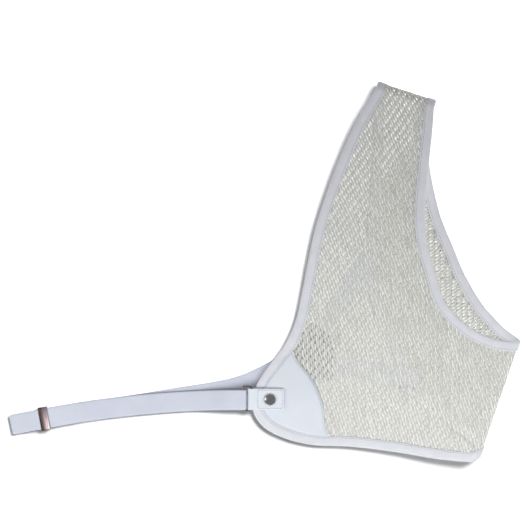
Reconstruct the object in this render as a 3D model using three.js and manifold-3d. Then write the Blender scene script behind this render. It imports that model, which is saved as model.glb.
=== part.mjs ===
// Archery chest guard: a half vest of net for one shoulder, lying flat with its front panel up.
// Millimetres, +Z up, the table at z = 0. The front panel folds over the shoulder and the side
// onto the back panel. A patch and a snapped tab hold a ring, and an elastic strap with a slider
// runs from the ring to a fold at the far end and back to a yoke behind the guard.
import * as THREE from 'three';
import { mergeVertices } from 'three/addons/utils/BufferGeometryUtils.js';
import Module from 'manifold-3d';

const wasm = await Module();
wasm.setup();

// Clearance between pieces that are sewn or laid on each other
const GAP = 0.3;
// Points nearer than this are one point of a solid
const WELD = 1e-4;

// Net panels and the tape that binds their edges
const NET_WALL = 1.4;
const BINDING = { width: 10, wall: 1.0, bevel: 0.6, innerBevel: 0.3 };
const BINDING_HALF = NET_WALL / 2 + GAP + BINDING.wall;
const NET_INSET = BINDING.wall + GAP;
const FOLD_RADIUS = 8;
const BACK_LEVEL = BINDING_HALF;
const FOLD_LEVEL = BACK_LEVEL + 2 * FOLD_RADIUS;
// The front drapes from the armhole to its outer edge by this power of the distance left
const DRAPE = 1.4;
// Steps between two ribs, around a fold and across a panel
const RIB_STEPS = 2;
const FOLD_STEPS = 6;
const PANEL_STEPS = 8;
// Ribs that meet an edge at a low angle are taken as no lower than this sine
const LOWEST_SLANT = 0.4;

// Vinyl patch, folded tab and snap at the front's lower corner
const PATCH_WALL = 1.0;
const PATCH_LEAST = 3;
const TAB = { left: -13.9, right: 19.5, middleY: -127.7, width: 21.5, wall: 1.0, level: 9.6 };
const TAB_TURN_RADIUS = 1.8;
// The tab's rounded end: distance from the end, and how much each side is narrowed there
const TAB_END = [{ from: 0, narrow: 2 }, { from: 0.6, narrow: 0.8 }, { from: 2, narrow: 0 }];
// The upper layer coming down from the ring: distance from the turn, and share of the drop
const TAB_DROP = [{ from: 2.2, drop: 0.05 }, { from: 5, drop: 0.5 }, { from: 8.5, drop: 1 }];
const SNAP = { x: 5.5, y: -127.9, capRadius: 6.25, capHeight: 3.2, postRadius: 2.0, flangeRadius: 5.5 };
const SNAP_HOLE_RADIUS = SNAP.postRadius + GAP;
const SNAP_FLANGE = { low: 3.9, high: 4.9 };
// The cap's dome from its rim to its top: share of the radius, and share of the height
const SNAP_DOME = [
  { radius: 1, height: 0 },
  { radius: 1, height: 0.2 },
  { radius: 0.93, height: 0.47 },
  { radius: 0.75, height: 0.72 },
  { radius: 0.4, height: 0.94 },
  { radius: 0, height: 1 },
];
const SNAP_SIDES = 20;
const DRILL = { length: 40, sides: 16 };

// Wire ring between the tab and the strap, tilted down to the strap
const RING = { leftX: -22.2, leftZ: 9.0, rightX: -12.9, rightZ: 11.4, middleY: -127.3 };
const RING_WIRE = { radius: 1.0, halfLength: 12.3, corner: 2.4, sides: 8, cornerSteps: 4 };

// Elastic strap and its lanes on the table, the front run a shallow bow from the ring
const STRAP = { width: 20, wall: 1.4 };
const LANE = { startX: -24.5, startY: -128.5, slope: 0.0077, bow: 0.00045 };
const LAYER = STRAP.wall + GAP;
const REAR_LEVEL = STRAP.wall / 2;
const MIDDLE_LEVEL = REAR_LEVEL + LAYER;
const TOP_LEVEL = MIDDLE_LEVEL + LAYER;
const LEFT_FOLD = { x: -252.2, radius: LAYER };
const RING_TURN = { x: -20.9, radius: 2.0 };
const TURN_STEPS = 8;
const RUN_STEP = 14;

// Metal slider: a flat sleeve with the strap's end sewn round its lower plate
const SLIDER = { x: -220.5, length: 9.4, width: 23.4, plate: 1.0, side: 1.2 };
const SLIDER_CORNER = { outer: 1.2, inner: 0.4, steps: 3 };
const SLIDER_LOW = MIDDLE_LEVEL + STRAP.wall / 2 + GAP;
const SLIDER_INNER_LEVEL = SLIDER_LOW + SLIDER.plate + GAP + STRAP.wall / 2;
const SLIDER_TOP_LEVEL = SLIDER_INNER_LEVEL + LAYER;
const SLIDER_HIGH = SLIDER_TOP_LEVEL + STRAP.wall / 2 + GAP + SLIDER.plate;
const SLIDER_TURN_LAP = 0.2;
const SLIDER_TURN_X = SLIDER.x - SLIDER.length / 2 + SLIDER_TURN_LAP;
const SEWN_END_X = -198.5;

// The strap's middle run from the slider to the ring, and its top run back to the far fold
const MIDDLE_RUN = [
  { x: -214.5, z: SLIDER_INNER_LEVEL },
  { x: -200, z: TOP_LEVEL },
  { x: -197, z: TOP_LEVEL },
  { x: -184, z: MIDDLE_LEVEL },
  { x: -75, z: MIDDLE_LEVEL },
  { x: LANE.startX, z: RING.leftZ - RING_TURN.radius },
];
const TOP_RUN = [
  { x: LANE.startX, z: RING.leftZ + RING_TURN.radius },
  { x: -75, z: TOP_LEVEL },
  { x: -180, z: TOP_LEVEL },
  { x: -196, z: TOP_LEVEL + LAYER },
  { x: -213.5, z: SLIDER_TOP_LEVEL },
  { x: -227, z: SLIDER_TOP_LEVEL },
  { x: -250, z: TOP_LEVEL },
];

// Yoke behind the guard: two bands and the patch that joins them to the strap
const BAND = { width: 20, wall: 1.2 };
const BAND_RISE_SHARES = [0, 0.15, 0.5, 0.85, 1];
const BAND_LAP_LEVEL = 2 * BINDING_HALF + GAP + BAND.wall / 2;
const YOKE_PATCH = { low: STRAP.wall + GAP, wall: 1.0 };

// Front ribs from the shoulder fold to the side fold: armhole end, outer end, their heights, and
// the share of the rib at which the vinyl patch starts
const FRONT_RIBS = [
  { arm: [169.1, 162.7], out: [110.6, 181.7], armZ: FOLD_LEVEL, outZ: FOLD_LEVEL, patch: 1 },
  { arm: [167, 135.5], out: [93, 152.5], armZ: 17.2, outZ: 15.6, patch: 1 },
  { arm: [164, 107.5], out: [76.5, 116.5], armZ: 16.6, outZ: 13.4, patch: 1 },
  { arm: [161.3, 81.5], out: [62.8, 80.5], armZ: 16.2, outZ: 11.6, patch: 1 },
  { arm: [160.1, 59.5], out: [51.8, 46.5], armZ: 15.9, outZ: 10, patch: 1 },
  { arm: [160.9, 38.5], out: [43.9, 11.5], armZ: 15.7, outZ: 8.8, patch: 1 },
  { arm: [163.9, 21.5], out: [37.8, -20.5], armZ: 15.5, outZ: 7.8, patch: 1 },
  { arm: [167.7, 8], out: [30.7, -50.5], armZ: 15.5, outZ: 7, patch: 1 },
  { arm: [171.3, -4.5], out: [19.8, -73.5], armZ: 15.5, outZ: 6.4, patch: 0.93 },
  { arm: [174.5, -16], out: [2, -97.5], armZ: 15.5, outZ: 6, patch: 0.835 },
  { arm: [177.7, -25.5], out: [-10.2, -118.5], armZ: 15.5, outZ: 6, patch: 0.745 },
  { arm: [181.8, -32.5], out: [-11.9, -138.5], armZ: 15.6, outZ: 6, patch: 0.697 },
  { arm: [186.8, -39], out: [-2.5, -154.5], armZ: 15.8, outZ: 6, patch: 0.702 },
  { arm: [192.8, -45.3], out: [16.5, -165.8], armZ: 16, outZ: 6, patch: 0.759 },
  { arm: [200, -51.7], out: [45.5, -173.5], armZ: 16.2, outZ: 6.4, patch: 0.887 },
  { arm: [209, -58.2], out: [87.5, -175.5], armZ: 16.6, outZ: 7.6, patch: 1 },
  { arm: [221, -64.2], out: [132.5, -180.9], armZ: 17, outZ: 9.8, patch: 1 },
  { arm: [234, -68.3], out: [172.5, -187.3], armZ: 17.6, outZ: 13.6, patch: 1 },
  { arm: [246.5, -69.5], out: [204.7, -190.1], armZ: FOLD_LEVEL, outZ: FOLD_LEVEL, patch: 1 },
];

// Back ribs from the side fold to the shoulder fold, all flat on the table
const BACK_RIBS = [
  { arm: [248.5, -63], out: [210, -173.8] },
  { arm: [240.5, -57], out: [195, -162.5] },
  { arm: [230, -46], out: [176.5, -145] },
  { arm: [221, -36], out: [159.5, -127.5] },
  { arm: [212.5, -23.5], out: [142, -107] },
  { arm: [205, -10.5], out: [125.5, -75.5] },
  { arm: [199, 1], out: [114, -49.5] },
  { arm: [194, 13], out: [106.2, -26.5] },
  { arm: [188.5, 26.5], out: [102.8, -4.5] },
  { arm: [182, 41.5], out: [102.1, 18.5] },
  { arm: [176.8, 55.5], out: [102.8, 41.5] },
  { arm: [172.7, 70.5], out: [104.7, 64.5] },
  { arm: [169.1, 86.5], out: [107, 87.5] },
  { arm: [165.7, 106.5], out: [108.7, 111.5] },
  { arm: [164.7, 126.5], out: [109.9, 134.5] },
  { arm: [166.5, 146.5], out: [110.5, 160] },
  { arm: [169.1, 161.9], out: [110.6, 180.9] },
];

// Middle line of the strap's rear run, from the far fold to its end under the yoke patch
const REAR_LANE = [
  { x: -250, y: -153.2 },
  { x: -183.5, y: -141 },
  { x: -134.5, y: -134.3 },
  { x: -93.5, y: -127.7 },
  { x: -28.5, y: -116.1 },
  { x: -0.5, y: -104.8 },
  { x: 42, y: -80 },
];

// Middle lines of the yoke's bands, each from the yoke patch up onto the back panel's binding
const UPPER_BAND = [
  { x: 50, y: -66.2, z: BAND.wall / 2 },
  { x: 84, y: -20.2, z: BAND.wall / 2 },
  { x: 92, y: -9.4, z: BAND_LAP_LEVEL },
  { x: 111, y: 16.3, z: BAND_LAP_LEVEL },
];
const LOWER_BAND = [
  { x: 60, y: -93.7, z: BAND.wall / 2 },
  { x: 118, y: -101.8, z: BAND.wall / 2 },
  { x: 129, y: -103.3, z: BAND_LAP_LEVEL },
  { x: 155, y: -106.9, z: BAND_LAP_LEVEL },
];
const YOKE_CORNERS = [
  [20.5, -83.5],
  [47.5, -50.5],
  [64.5, -62.5],
  [69.5, -80.5],
  [68.5, -108.5],
  [25.5, -109.5],
];

const UP = new THREE.Vector3(0, 0, 1);

// One closed solid through sections of equal point counts, capped at its ends unless it is a loop.
// A section runs along its upper side and back along its lower one, so its cap is a strip.
function loft(sections, loop) {
  const size = sections[0].length;
  const index = [];
  const spans = loop ? sections.length : sections.length - 1;
  for (let i = 0; i < spans; i += 1) {
    const here = i * size;
    const there = ((i + 1) % sections.length) * size;
    for (let k = 0; k < size; k += 1) {
      const next = (k + 1) % size;
      index.push(here + k, there + k, there + next, here + k, there + next, here + next);
    }
  }
  if (!loop) {
    const last = (sections.length - 1) * size;
    for (let k = 0; k < size / 2 - 1; k += 1) {
      const low = size - 1 - k;
      index.push(k, k + 1, low - 1, k, low - 1, low);
      index.push(last + k, last + low - 1, last + k + 1, last + k, last + low, last + low - 1);
    }
  }
  const geometry = new THREE.BufferGeometry();
  geometry.setFromPoints(sections.flat());
  geometry.setIndex(volumeOf(sections.flat(), index) > 0 ? index : index.reverse());
  return geometry;
}

function volumeOf(points, index) {
  let six = 0;
  for (let i = 0; i < index.length; i += 3) {
    const [a, b, c] = [points[index[i]], points[index[i + 1]], points[index[i + 2]]];
    six += a.dot(b.clone().cross(c));
  }
  return six / 6;
}

// A three.js geometry as a manifold solid, and the reverse
function solidOf(geometry) {
  const bare = geometry.clone();
  bare.deleteAttribute('normal');
  bare.deleteAttribute('uv');
  const merged = mergeVertices(bare, WELD);
  const vertProperties = new Float32Array(merged.attributes.position.array);
  const triVerts = new Uint32Array(merged.index.array);
  return new wasm.Manifold(new wasm.Mesh({ numProp: 3, vertProperties, triVerts }));
}

function geometryOf(solid) {
  const mesh = solid.getMesh();
  const geometry = new THREE.BufferGeometry();
  geometry.setAttribute('position', new THREE.BufferAttribute(mesh.vertProperties, 3));
  geometry.setIndex(new THREE.BufferAttribute(mesh.triVerts, 1));
  return geometry;
}

// The hole that the snap's post goes through
function withSnapHole(geometry) {
  const drill = new THREE.CylinderGeometry(
    SNAP_HOLE_RADIUS, SNAP_HOLE_RADIUS, DRILL.length, DRILL.sides,
  );
  drill.rotateX(Math.PI / 2);
  drill.translate(SNAP.x, SNAP.y, 0);
  return geometryOf(solidOf(geometry).subtract(solidOf(drill)));
}

// Ribs between the rows of a table, on smooth curves through their ends
function ribsThrough(rows) {
  const level = (z) => (z === undefined ? BACK_LEVEL : z);
  const armCurve = new THREE.CatmullRomCurve3(
    rows.map((row) => new THREE.Vector3(...row.arm, level(row.armZ))),
  );
  const outCurve = new THREE.CatmullRomCurve3(
    rows.map((row) => new THREE.Vector3(...row.out, level(row.outZ))),
  );
  const count = (rows.length - 1) * RIB_STEPS;
  const ribs = [];
  for (let i = 0; i <= count; i += 1) {
    ribs.push({ arm: armCurve.getPoint(i / count), out: outCurve.getPoint(i / count) });
  }
  return ribs;
}

// Ribs around a half-round fold between two ribs that lie over each other
function ribsAround(from, to, side) {
  const along = from.out.clone().sub(from.arm).setZ(0).normalize();
  const outward = along.clone().cross(UP).multiplyScalar(side * FOLD_RADIUS);
  const turned = (start, end, angle) => {
    const point = start.clone().lerp(end, angle / Math.PI);
    point.addScaledVector(outward, Math.sin(angle));
    return point.setZ(start.z + ((end.z - start.z) * (1 - Math.cos(angle))) / 2);
  };
  const ribs = [];
  for (let k = 1; k < FOLD_STEPS; k += 1) {
    const angle = (Math.PI * k) / FOLD_STEPS;
    ribs.push({ arm: turned(from.arm, to.arm, angle), out: turned(from.out, to.out, angle) });
  }
  return ribs;
}

// The closed ring of ribs: front, side fold, back, shoulder fold
const frontRibs = ribsThrough(FRONT_RIBS);
const backRibs = ribsThrough(BACK_RIBS);
const sideRibs = ribsAround(frontRibs[frontRibs.length - 1], backRibs[0], -1);
const shoulderRibs = ribsAround(backRibs[backRibs.length - 1], frontRibs[0], 1);
const ring = [...frontRibs, ...sideRibs, ...backRibs, ...shoulderRibs];
const frontEnd = frontRibs.length - 1;
const backStart = frontRibs.length + sideRibs.length;
const backEnd = backStart + backRibs.length - 1;

// The net and its two bindings go round the ring in four runs that meet end to end at the folds
const RUNS = [
  { side: 'front', from: 0, to: frontEnd },
  { side: 'side', from: frontEnd, to: backStart },
  { side: 'back', from: backStart, to: backEnd },
  { side: 'shoulder', from: backEnd, to: ring.length },
];

function ribAt(i) {
  return ring[(i + ring.length) % ring.length];
}

function ribPoint(i, share) {
  const { arm, out } = ribAt(i);
  const point = arm.clone().lerp(out, share);
  return point.setZ(out.z + (arm.z - out.z) * Math.max(1 - share, 0) ** DRAPE);
}

// The panel's outward direction: up on the front, down on the back
function ribNormal(i, share) {
  const nudge = 0.01;
  const across = ribPoint(i, share + nudge).sub(ribPoint(i, share - nudge));
  const around = ribPoint(i + 1, share).sub(ribPoint(i - 1, share));
  return across.cross(around).normalize();
}

// A point at a height above the panel's middle surface
function raised(i, share, height) {
  return ribPoint(i, share).addScaledVector(ribNormal(i, share), height);
}

// The share of a rib that lies a given distance inside one of its edges
function shareInside(i, edge, depth) {
  const { arm, out } = ribAt(i);
  const rib = out.clone().sub(arm);
  const tangent = ribAt(i + 1)[edge].clone().sub(ribAt(i - 1)[edge]).normalize();
  const slant = Math.max(tangent.cross(rib).length() / rib.length(), LOWEST_SLANT);
  const share = depth / (rib.length() * slant);
  return edge === 'arm' ? share : 1 - share;
}

// One section of a sheet on the panel, between two shares of a rib and two heights
function sheetSection(i, from, to, low, high, steps) {
  const upper = [];
  const lower = [];
  for (let k = 0; k <= steps; k += 1) {
    const share = from + ((to - from) * k) / steps;
    upper.push(raised(i, share, high));
    lower.unshift(raised(i, share, low));
  }
  return [...upper, ...lower];
}

function netSection(i) {
  const from = shareInside(i, 'arm', NET_INSET);
  const to = shareInside(i, 'out', NET_INSET);
  return sheetSection(i, from, to, -NET_WALL / 2, NET_WALL / 2, PANEL_STEPS);
}

// Folded tape over one edge of the panel, a channel with its mouth to the net
function bindingSection(i, edge) {
  const { width, wall, bevel, innerBevel } = BINDING;
  const inner = BINDING_HALF - wall;
  const outside = [
    { depth: width, height: BINDING_HALF },
    { depth: bevel, height: BINDING_HALF },
    { depth: 0, height: BINDING_HALF - bevel },
  ];
  const inside = [
    { depth: width, height: inner },
    { depth: wall + innerBevel, height: inner },
    { depth: wall, height: inner - innerBevel },
  ];
  const below = (side) => side.map(({ depth, height }) => ({ depth, height: -height }));
  const profile = [...outside, ...below(outside).toReversed(), ...below(inside), ...inside.toReversed()];
  return profile.map(({ depth, height }) => raised(i, shareInside(i, edge, depth), height));
}

// One run of the net or of a binding, pulled in at both ends to clear the next run
function runOf({ from, to }, sectionAt) {
  const sections = [];
  for (let i = from; i <= to; i += 1) {
    sections.push(sectionAt(i));
  }
  const pullIn = (section, beside) => section.map((point, k) => {
    const inward = beside[k].clone().sub(point).normalize();
    return point.clone().addScaledVector(inward, GAP / 2);
  });
  const last = sections.length - 1;
  const first = pullIn(sections[0], sections[1]);
  sections[last] = pullIn(sections[last], sections[last - 1]);
  sections[0] = first;
  return loft(sections, false);
}

// Vinyl patch on the front net, from its seam to the outer binding
function frontPatch() {
  const seam = new THREE.CatmullRomCurve3(
    FRONT_RIBS.map((row, i) => new THREE.Vector3(i, row.patch, 0)),
  );
  const low = NET_WALL / 2 + GAP;
  const sections = [];
  frontRibs.forEach((rib, i) => {
    const from = seam.getPoint(i / (frontRibs.length - 1)).y;
    const to = shareInside(i, 'out', BINDING.width + GAP);
    if ((to - from) * rib.arm.distanceTo(rib.out) > PATCH_LEAST) {
      sections.push(sheetSection(i, from, to, low, low + PATCH_WALL, PANEL_STEPS));
    }
  });
  return withSnapHole(loft(sections, false));
}

// A flat tape along middle points, each with the level direction across it and the tape's width there
function tape(stops, wall) {
  const sections = stops.map((stop, i) => {
    const before = stops[Math.max(i - 1, 0)].point;
    const after = stops[Math.min(i + 1, stops.length - 1)].point;
    const along = after.clone().sub(before).normalize();
    const face = along.clone().cross(stop.across).normalize();
    const corner = (side, level) => stop.point.clone()
      .addScaledVector(stop.across, (side * stop.width) / 2)
      .addScaledVector(face, (level * wall) / 2);
    return [corner(-1, 1), corner(1, 1), corner(1, -1), corner(-1, -1)];
  });
  return loft(sections, false);
}

// Stops of a half turn in the vertical plane, rising or falling, that bulges to the facing side
function halfTurn(x, z, radius, facing, rising) {
  const stops = [];
  for (let k = 0; k <= TURN_STEPS; k += 1) {
    const angle = (Math.PI * k) / TURN_STEPS;
    const height = rising ? -Math.cos(angle) : Math.cos(angle);
    stops.push({ x: x + facing * radius * Math.sin(angle), z: z + radius * height });
  }
  return stops;
}

function easeIn(share) {
  return share * share * (3 - 2 * share);
}

// Level runs between route rows, eased up and down and cut into steps
function eased(from, to) {
  const count = Math.max(1, Math.round(Math.abs(to.x - from.x) / RUN_STEP));
  const stops = [];
  for (let k = 1; k < count; k += 1) {
    const share = k / count;
    const z = from.z + (to.z - from.z) * easeIn(share);
    stops.push({ x: from.x + (to.x - from.x) * share, z });
  }
  return stops;
}

function laneY(x) {
  const run = LANE.startX - x;
  return LANE.startY - LANE.slope * run - LANE.bow * run * run;
}

function laneAcross(x) {
  const slope = LANE.slope + 2 * LANE.bow * (LANE.startX - x);
  return new THREE.Vector3(-slope, 1, 0).normalize();
}

// The strap: sewn round the slider, out to the ring, back through the slider to the far fold, and
// along the table to the yoke
function strap() {
  const sliderTurnZ = (MIDDLE_LEVEL + SLIDER_INNER_LEVEL) / 2;
  const sliderTurnRadius = (SLIDER_INNER_LEVEL - MIDDLE_LEVEL) / 2;
  const rows = [
    { x: SEWN_END_X, z: MIDDLE_LEVEL },
    ...halfTurn(SLIDER_TURN_X, sliderTurnZ, sliderTurnRadius, -1, true),
    ...MIDDLE_RUN,
    ...halfTurn(RING_TURN.x, RING.leftZ, RING_TURN.radius, 1, true),
    ...TOP_RUN,
    ...halfTurn(LEFT_FOLD.x, MIDDLE_LEVEL, LEFT_FOLD.radius, -1, false),
  ];
  const run = rows.flatMap((row, i) => (i === 0 ? [row] : [...eased(rows[i - 1], row), row]));
  const stops = run.map(({ x, z }) => ({
    point: new THREE.Vector3(x, laneY(x), z),
    across: laneAcross(x),
    width: STRAP.width,
  }));
  return tape([...stops, ...stopsThrough(REAR_LANE, REAR_LEVEL)], STRAP.wall);
}

// Stops on a smooth level curve through a lane's rows
function stopsThrough(lane, level) {
  const curve = new THREE.CatmullRomCurve3(
    lane.map(({ x, y, z }) => new THREE.Vector3(x, y, z === undefined ? level : z)),
  );
  const count = Math.round(curve.getLength() / RUN_STEP);
  const stops = [];
  for (let i = 0; i <= count; i += 1) {
    const along = curve.getTangentAt(i / count).setZ(0).normalize();
    stops.push({
      point: curve.getPointAt(i / count),
      across: UP.clone().cross(along),
      width: STRAP.width,
    });
  }
  return stops;
}

// A yoke band, straight in plan, eased up from the table onto the binding
function yokeBand(rows) {
  const first = rows[0];
  const last = rows[rows.length - 1];
  const along = new THREE.Vector3(last.x - first.x, last.y - first.y, 0).normalize();
  const across = UP.clone().cross(along);
  const rise = rows[2].z - rows[1].z;
  const slope = BAND_RISE_SHARES.map((share) => ({
    x: rows[1].x + (rows[2].x - rows[1].x) * share,
    y: rows[1].y + (rows[2].y - rows[1].y) * share,
    z: rows[1].z + rise * easeIn(share),
  }));
  const points = [first, ...slope, last];
  const stops = points.map(({ x, y, z }) => ({
    point: new THREE.Vector3(x, y, z),
    across,
    width: BAND.width,
  }));
  return tape(stops, BAND.wall);
}

function yokePatch() {
  const outline = new THREE.Shape(YOKE_CORNERS.map(([x, y]) => new THREE.Vector2(x, y)));
  const geometry = new THREE.ExtrudeGeometry(outline, { depth: YOKE_PATCH.wall, bevelEnabled: false });
  return geometry.translate(0, 0, YOKE_PATCH.low);
}

// The tab: a vinyl strip folded round the ring, both layers held down by the snap
function strapTab() {
  const upperLevel = TAB.level + TAB.wall + GAP;
  const turnZ = TAB.level + TAB_TURN_RADIUS;
  const turnTop = turnZ + TAB_TURN_RADIUS;
  const endRows = (z) => TAB_END.map(({ from, narrow }) => ({ x: TAB.right - from, z, narrow }));
  const rows = [
    ...endRows(TAB.level),
    ...halfTurn(TAB.left, turnZ, TAB_TURN_RADIUS, -1, true),
    ...TAB_DROP.map(({ from, drop }) => ({
      x: TAB.left + from,
      z: turnTop + (upperLevel - turnTop) * drop,
    })),
    ...endRows(upperLevel).reverse(),
  ];
  const stops = rows.map(({ x, z, narrow = 0 }) => ({
    point: new THREE.Vector3(x, TAB.middleY, z),
    across: new THREE.Vector3(0, 1, 0),
    width: TAB.width - 2 * narrow,
  }));
  return withSnapHole(tape(stops, TAB.wall));
}

// The closed snap: domed cap, post through the tab, patch and net, and the flange behind them
function snap() {
  const capLow = TAB.level + 1.5 * TAB.wall + 2 * GAP;
  const profile = [
    [0, SNAP_FLANGE.low],
    [SNAP.flangeRadius, SNAP_FLANGE.low],
    [SNAP.flangeRadius, SNAP_FLANGE.high],
    [SNAP.postRadius, SNAP_FLANGE.high],
    [SNAP.postRadius, capLow],
    ...SNAP_DOME.map((row) => [row.radius * SNAP.capRadius, capLow + row.height * SNAP.capHeight]),
  ];
  const points = profile.map(([radius, z]) => new THREE.Vector2(radius, z));
  const geometry = new THREE.LatheGeometry(points, SNAP_SIDES);
  return geometry.rotateX(Math.PI / 2).translate(SNAP.x, SNAP.y, 0);
}

// The rectangular wire ring, drawn flat and tilted about the tab's direction
function wireRing() {
  const halfWidth = Math.hypot(RING.rightX - RING.leftX, RING.rightZ - RING.leftZ) / 2;
  const corners = [[1, 1], [-1, 1], [-1, -1], [1, -1]];
  const sections = [];
  corners.forEach(([sx, sy], quarter) => {
    const centreX = sx * (halfWidth - RING_WIRE.corner);
    const centreY = sy * (RING_WIRE.halfLength - RING_WIRE.corner);
    for (let k = 0; k <= RING_WIRE.cornerSteps; k += 1) {
      const angle = (Math.PI / 2) * (quarter + k / RING_WIRE.cornerSteps);
      const out = new THREE.Vector3(Math.cos(angle), Math.sin(angle), 0);
      const middle = new THREE.Vector3(centreX, centreY, 0).addScaledVector(out, RING_WIRE.corner);
      const section = [];
      for (let n = 0; n < RING_WIRE.sides; n += 1) {
        const turn = (2 * Math.PI * (n + 0.5)) / RING_WIRE.sides;
        section.push(middle.clone()
          .addScaledVector(out, RING_WIRE.radius * Math.cos(turn))
          .addScaledVector(UP, RING_WIRE.radius * Math.sin(turn)));
      }
      sections.push(section);
    }
  });
  return loft(sections, true);
}

function roundedBox(target, halfWidth, low, high, corner) {
  target.moveTo(corner - halfWidth, low);
  target.lineTo(halfWidth - corner, low);
  target.absarc(halfWidth - corner, low + corner, corner, -Math.PI / 2, 0);
  target.lineTo(halfWidth, high - corner);
  target.absarc(halfWidth - corner, high - corner, corner, 0, Math.PI / 2);
  target.lineTo(corner - halfWidth, high);
  target.absarc(corner - halfWidth, high - corner, corner, Math.PI / 2, Math.PI);
  target.lineTo(-halfWidth, low + corner);
  target.absarc(corner - halfWidth, low + corner, corner, Math.PI, 1.5 * Math.PI);
  return target;
}

// The slider's sleeve, drawn across the strap and pushed along it
function slider() {
  const { width, plate, side, length } = SLIDER;
  const { outer, inner, steps } = SLIDER_CORNER;
  const outline = roundedBox(new THREE.Shape(), width / 2, SLIDER_LOW, SLIDER_HIGH, outer);
  const mouth = new THREE.Path();
  roundedBox(mouth, width / 2 - side, SLIDER_LOW + plate, SLIDER_HIGH - plate, inner);
  outline.holes.push(mouth);
  const geometry = new THREE.ExtrudeGeometry(outline, {
    depth: length,
    bevelEnabled: false,
    curveSegments: steps,
  });
  return geometry.translate(0, 0, -length / 2).rotateX(Math.PI / 2).rotateZ(Math.PI / 2);
}

const WHITE_NET = { color: 0xcdcdc3, roughness: 0.85, metalness: 0 };
const WHITE_TAPE = { color: 0xd4d6e2, roughness: 0.7, metalness: 0 };
const WHITE_VINYL = { color: 0xdde1ea, roughness: 0.4, metalness: 0 };
const GREY_VINYL = { color: 0x8d9096, roughness: 0.6, metalness: 0 };
const ELASTIC = { color: 0xd3d6e6, roughness: 0.75, metalness: 0 };
const NICKEL = { color: 0xb5b2b0, roughness: 0.25, metalness: 1 };
const DARK_NICKEL = { color: 0x5d5250, roughness: 0.3, metalness: 1 };

const guard = new THREE.Group();

function addPiece(name, geometry, finish) {
  const piece = new THREE.Mesh(geometry, new THREE.MeshStandardMaterial(finish));
  piece.name = name;
  guard.add(piece);
  return piece;
}

RUNS.forEach((run) => {
  const net = runOf(run, netSection);
  addPiece(`${run.side}_net`, run.side === 'front' ? withSnapHole(net) : net, WHITE_NET);
  addPiece(`${run.side}_armhole_binding`, runOf(run, (i) => bindingSection(i, 'arm')), WHITE_TAPE);
  addPiece(`${run.side}_outer_binding`, runOf(run, (i) => bindingSection(i, 'out')), WHITE_TAPE);
});
addPiece('front_patch', frontPatch(), WHITE_VINYL);
addPiece('strap_tab', strapTab(), WHITE_VINYL);
addPiece('snap', snap(), NICKEL);
addPiece('strap', strap(), ELASTIC);
addPiece('upper_band', yokeBand(UPPER_BAND), ELASTIC);
addPiece('lower_band', yokeBand(LOWER_BAND), ELASTIC);
addPiece('yoke_patch', yokePatch(), GREY_VINYL);

const ringPiece = addPiece('ring', wireRing(), DARK_NICKEL);
ringPiece.position.set((RING.leftX + RING.rightX) / 2, RING.middleY, (RING.leftZ + RING.rightZ) / 2);
ringPiece.rotation.y = -Math.atan2(RING.rightZ - RING.leftZ, RING.rightX - RING.leftX);

const sliderPiece = addPiece('slider', slider(), DARK_NICKEL);
sliderPiece.position.set(SLIDER.x, laneY(SLIDER.x), 0);
const sliderAcross = laneAcross(SLIDER.x);
sliderPiece.rotation.z = Math.atan2(-sliderAcross.x, sliderAcross.y);

export default guard;
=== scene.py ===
import math

import bpy
import numpy as np
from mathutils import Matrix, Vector
from mathutils.bvhtree import BVHTree


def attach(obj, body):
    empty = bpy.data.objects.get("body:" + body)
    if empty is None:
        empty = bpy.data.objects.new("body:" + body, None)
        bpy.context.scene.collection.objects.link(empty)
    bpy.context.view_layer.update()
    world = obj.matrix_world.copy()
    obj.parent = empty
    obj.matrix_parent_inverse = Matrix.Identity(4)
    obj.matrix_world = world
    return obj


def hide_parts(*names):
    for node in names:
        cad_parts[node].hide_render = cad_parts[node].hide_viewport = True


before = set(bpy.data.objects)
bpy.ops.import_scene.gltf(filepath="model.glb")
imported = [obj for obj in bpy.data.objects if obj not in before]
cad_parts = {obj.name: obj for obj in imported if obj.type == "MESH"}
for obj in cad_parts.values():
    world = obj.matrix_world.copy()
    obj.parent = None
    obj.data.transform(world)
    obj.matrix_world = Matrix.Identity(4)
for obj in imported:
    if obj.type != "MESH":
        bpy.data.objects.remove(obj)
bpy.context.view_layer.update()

# All sizes below are in millimetres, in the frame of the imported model, and meshes are scaled by MM
MM = 0.001
SEED = 7
UP = np.array([0.0, 0.0, 1.0])

# Panel of net: fold levels, drape and the ribs that carry it, as in the part's source
FOLD_RADIUS = 8.0
BACK_LEVEL = 2.0
FOLD_LEVEL = BACK_LEVEL + 2 * FOLD_RADIUS
DRAPE = 1.4
LOWEST_SLANT = 0.4
RIB_STEPS = 8
FOLD_STEPS = 24

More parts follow.
